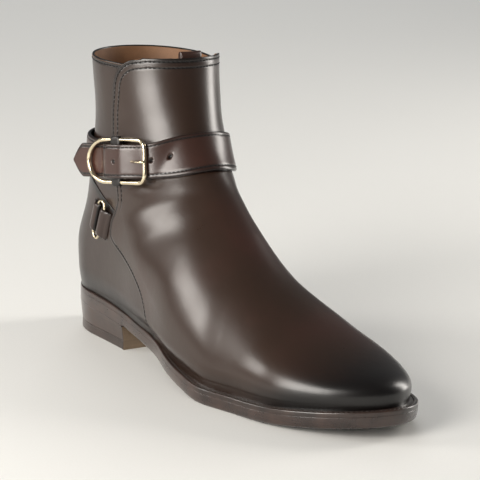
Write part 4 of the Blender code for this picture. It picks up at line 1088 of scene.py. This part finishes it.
# The punched holes are shallow pits; below they are painted near black, which is painted shade for the holes'
# depth.
pits = np.max([1 - smoothstep(np.hypot(even[:, None] - (bar_run - hole), levels), 0.0009, 0.0015)
               for hole in HOLES], axis=0)
# A thin band across the strap where it dips off the bar past the chape: a slight dip in the surface, and
# painted shade in the colour for the bend's shadow line.
bend_dip_and_shade = bell(even[:, None], bar_run + 0.0056 - 0.0022 * (levels / STRAP_WIDTH * 2) ** 2, 0.0007)
top_face = belt + belt_out * (crown - pits * 0.0016 - bend_dip_and_shade * 0.0004)[..., None]
under_face = (belt + belt_out * 0.0001)[:, ::-4]
section = np.concatenate([top_face, under_face], axis=1)
# Darker at the dyed edges and towards the tip; the stitch grooves, holes and bend line are darkened as
# painted shade.
burnish_and_shade = (0.12 + 0.7 * np.exp(-edge_in / 0.0013) + 0.7 * grooved + pits * 1.5 + bend_dip_and_shade * 0.9
           + 0.25 * np.exp(-from_tip / 0.004)[:, None])
burnish_and_shade = np.concatenate([np.clip(burnish_and_shade, 0, 1), np.ones(under_face.shape[:2])], axis=1)
STRAP_CALF = calf("strap_calf", (0.038, 0.0155, 0.0105), (0.005, 0.0035, 0.003), red=(0.075, 0.021, 0.013))
piece("strap", section, tube_faces(section), STRAP_CALF, "ankle_strap",
      marks={"burnish_and_shade": burnish_and_shade})
sewn = (even > 0.004) & (from_tip > 0.009)
rows = [(top_face[sewn, j], belt_out[sewn, j]) for j in (9, 35)]
stitches("strap_stitching", rows, DARK_THREAD, pitch=0.0027, length=0.0020, thick=0.00075)


# Buckle: a frame of plated brass wire, square ahead of the centre bar and round behind it, with a prong that
# turns on the bar and rests on the square end. The chape is dark calf folded round the bar and rails.
rail = FRAME_HEIGHT / 2
bend = np.linspace(0, pi / 2, 14)
inner_reach, inner_rail = SQUARE_REACH - FRAME_CORNER, rail - FRAME_CORNER
corners = [np.stack([inner_reach + FRAME_CORNER * np.cos(t), low + FRAME_CORNER * np.sin(t)], -1)
           for low, t in ((-inner_rail, bend - pi / 2), (inner_rail, bend))]
round_end = np.linspace(pi / 2, 3 * pi / 2, 48)
round_end = np.stack([ROUND_REACH * (0.60 * np.cos(round_end) - 0.40), rail * np.sin(round_end)], -1)
straight = np.array(((SQUARE_REACH * 0.4, rail), (0.0, rail), (-ROUND_REACH * 0.22, rail)))
loop = np.concatenate([*corners, straight, round_end, straight[::-1] * (1, -1)])
loop = np.vstack([loop, loop[:1]])
loop_run = run_of(loop)
loop = read_at(np.linspace(0, loop_run[-1], 240, endpoint=False), loop_run, loop)
for _ in range(4):
    loop = 0.25 * np.roll(loop, 1, 0) + 0.5 * loop + 0.25 * np.roll(loop, -1, 0)
frame_wire = wire(on_buckle(loop[:, 0], loop[:, 1], 0.0), WIRE_RADIUS, sides=20)
bar_wire = wire(on_buckle(0.0, np.linspace(-rail, rail, 12), 0.0), WIRE_RADIUS * 0.9, closed=False, sides=16)
frame_faces = outward_faces(frame_wire, grid_faces(240, 20, True, True))
bar_faces = outward_faces(bar_wire, grid_faces(12, 16, wrap_columns=True)) + 240 * 20
piece("buckle_wire", np.concatenate([frame_wire.reshape(-1, 3), bar_wire.reshape(-1, 3)]),
      np.concatenate([frame_faces, bar_faces]), BRASS, "buckle_frame")

PRONG_RADIUS, PRONG_ROUND, PRONG_PAST = 0.0010, 0.0016, 0.0024
prong_over = WIRE_RADIUS + GAP + PRONG_RADIUS
# columns: of the square end's reach, height over the bar's middle
PRONG = np.array(((0.0, -0.0002), (0.2, -0.0002), (0.3, -0.0001), (0.5, 0.0004), (0.66, 0.0013),
                  (0.82, prong_over), (1.0, prong_over + 0.0002), (1.1, prong_over))).T
reach = np.linspace(CHAPE_LENGTH / 2 + GAP + PRONG_RADIUS, SQUARE_REACH + PRONG_PAST, 60)
centre = on_buckle(reach, 0.0, curve(PRONG[0] * SQUARE_REACH, PRONG[1])(reach))
prong = wire(centre, PRONG_RADIUS, sides=16, closed=False, flat=0.85)
left = np.clip((reach[-1] - reach) / PRONG_ROUND, 0, 1)
narrowed = np.sqrt(1 - (1 - left) ** 2).clip(0.05)[:, None, None]
prong = centre[:, None] + (prong - centre[:, None]) * narrowed
piece("prong", prong, tube_faces(prong), BRASS, "buckle_prong")

height = np.linspace(-1, 1, 61)[:, None]
turn = 2 * pi * np.arange(40) / 40
fold = WIRE_RADIUS + CHAPE_LEATHER
ease = 1 - 0.30 * np.abs(height) ** 16
chape = on_buckle(squared(np.cos(turn), 0.6) * CHAPE_LENGTH / 2 * ease, height * (rail + fold),
                  squared(np.sin(turn), 0.6) * fold * ease)
CHAPE_CALF = calf("chape_calf", (0.009, 0.006, 0.005), (0.005, 0.004, 0.004), rough=0.45, coat=0.15,
                  red=(0.014, 0.007, 0.006))
piece("chape", chape, tube_faces(chape), CHAPE_CALF, "buckle_chape",
      marks={"burnish_and_shade": np.full(chape.shape[:2], 0.5)})


# Studio: a wide sheet of pale paper under the boot, soft boxes to the left and behind, a narrow one to the
# right that draws the light line down the shin, and the photograph's camera angle.
made, shader, at = finish("pale_paper")
fibre = at.noise(900, 3, 0.6)
feed(shader, Base_Color=fibre.ease(0.2, 0.8).blend((0.80, 0.80, 0.775), (0.83, 0.83, 0.805)), Roughness=0.7,
     Normal=at.bump(fibre, 0.0001, 0.2))
shader.inputs["Specular IOR Level"].default_value = 0.2
angle = np.linspace(0, 2 * pi, 96, endpoint=False)
radius = np.array([0.0, 0.15, 0.4, 0.9, 1.8, 3.5, 7.0, 14.0])[:, None]
paper = np.stack([radius * np.cos(angle), radius * np.sin(angle) - 0.12, 0 * radius * angle - 0.0001], -1)
mesh = bpy.data.meshes.new("studio_floor")
mesh.from_pydata(paper.reshape(-1, 3).tolist(), [], grid_faces(8, 96, wrap_columns=True)[:, ::-1].tolist())
mesh.materials.append(made)
add("studio_floor", mesh)


def softbox(name, at, size, power, aim=(0.0, -0.11, 0.07), mirrored=True):
    """An area light of a width and height, aimed at a point; only a mirrored one, warmer, shows in gloss."""
    light = bpy.data.lights.new(name, "AREA")
    light.shape, light.size, light.size_y, light.energy = "RECTANGLE", *size, power
    light.color = (1.0, 0.955, 0.90) if mirrored else (1.0, 1.0, 1.0)
    lamp = add(name, light)
    lamp.location = at
    lamp.rotation_euler = (Vector(aim) - Vector(at)).to_track_quat("-Z", "Y").to_euler()
    lamp.visible_glossy = mirrored


softbox("left_box", (-1.25, -0.40, 0.55), (0.7, 0.8), 22)
softbox("side_box", (-1.35, 0.90, 0.75), (0.6, 0.7), 13)
softbox("top_box", (0.35, 0.55, 2.3), (2.4, 2.4), 10, mirrored=False)
softbox("right_strip", (1.3, -0.25, 0.45), (0.42, 1.0), 14)
softbox("back_wash", (1.6, 2.6, 1.8), (1.6, 1.6), 28, aim=(0.7, 1.2, 0.0), mirrored=False)
sky = bpy.data.worlds.new("studio_air")
bpy.context.scene.world = sky
sky.use_nodes = True
feed(sky.node_tree.nodes["Background"], Color=(0.80, 0.81, 0.82), Strength=0.14)

AZIMUTH, ELEVATION, ROLL, DISTANCE = radians(-34.263), radians(13.346), radians(2.291), 1.5723
PICTURE, FOCAL, CLOSER = 480, 1877.65, 1.36     # pixels; how far the frame closes in on the one boot
AIM_RIGHT, AIM_DOWN = 21.5, 13.5                # pixels from the boot's middle to the frame's
back = Vector((sin(AZIMUTH) * cos(ELEVATION), -cos(AZIMUTH) * cos(ELEVATION), sin(ELEVATION)))
right = Vector((cos(AZIMUTH), sin(AZIMUTH), 0))
over = back.cross(right)
right_r, over_r = right * cos(ROLL) + over * sin(ROLL), over * cos(ROLL) - right * sin(ROLL)
eye = Vector((0, -0.09, 0.09)) + back * DISTANCE
forward = (-back * FOCAL + right_r * AIM_RIGHT - over_r * AIM_DOWN).normalized()
right_c = forward.cross(over_r).normalized()
over_c = right_c.cross(forward)
camera = add("camera", bpy.data.cameras.new("camera"))
camera.matrix_world = Matrix((
    (right_c.x, over_c.x, -forward.x, eye.x), (right_c.y, over_c.y, -forward.y, eye.y),
    (right_c.z, over_c.z, -forward.z, eye.z), (0, 0, 0, 1)))
camera.data.sensor_width = 36.0
camera.data.lens = FOCAL * CLOSER * 36.0 / PICTURE
camera.data.clip_start, camera.data.clip_end = 0.05, 60
bpy.context.scene.camera = camera
bpy.context.scene.view_settings.view_transform = "Standard"
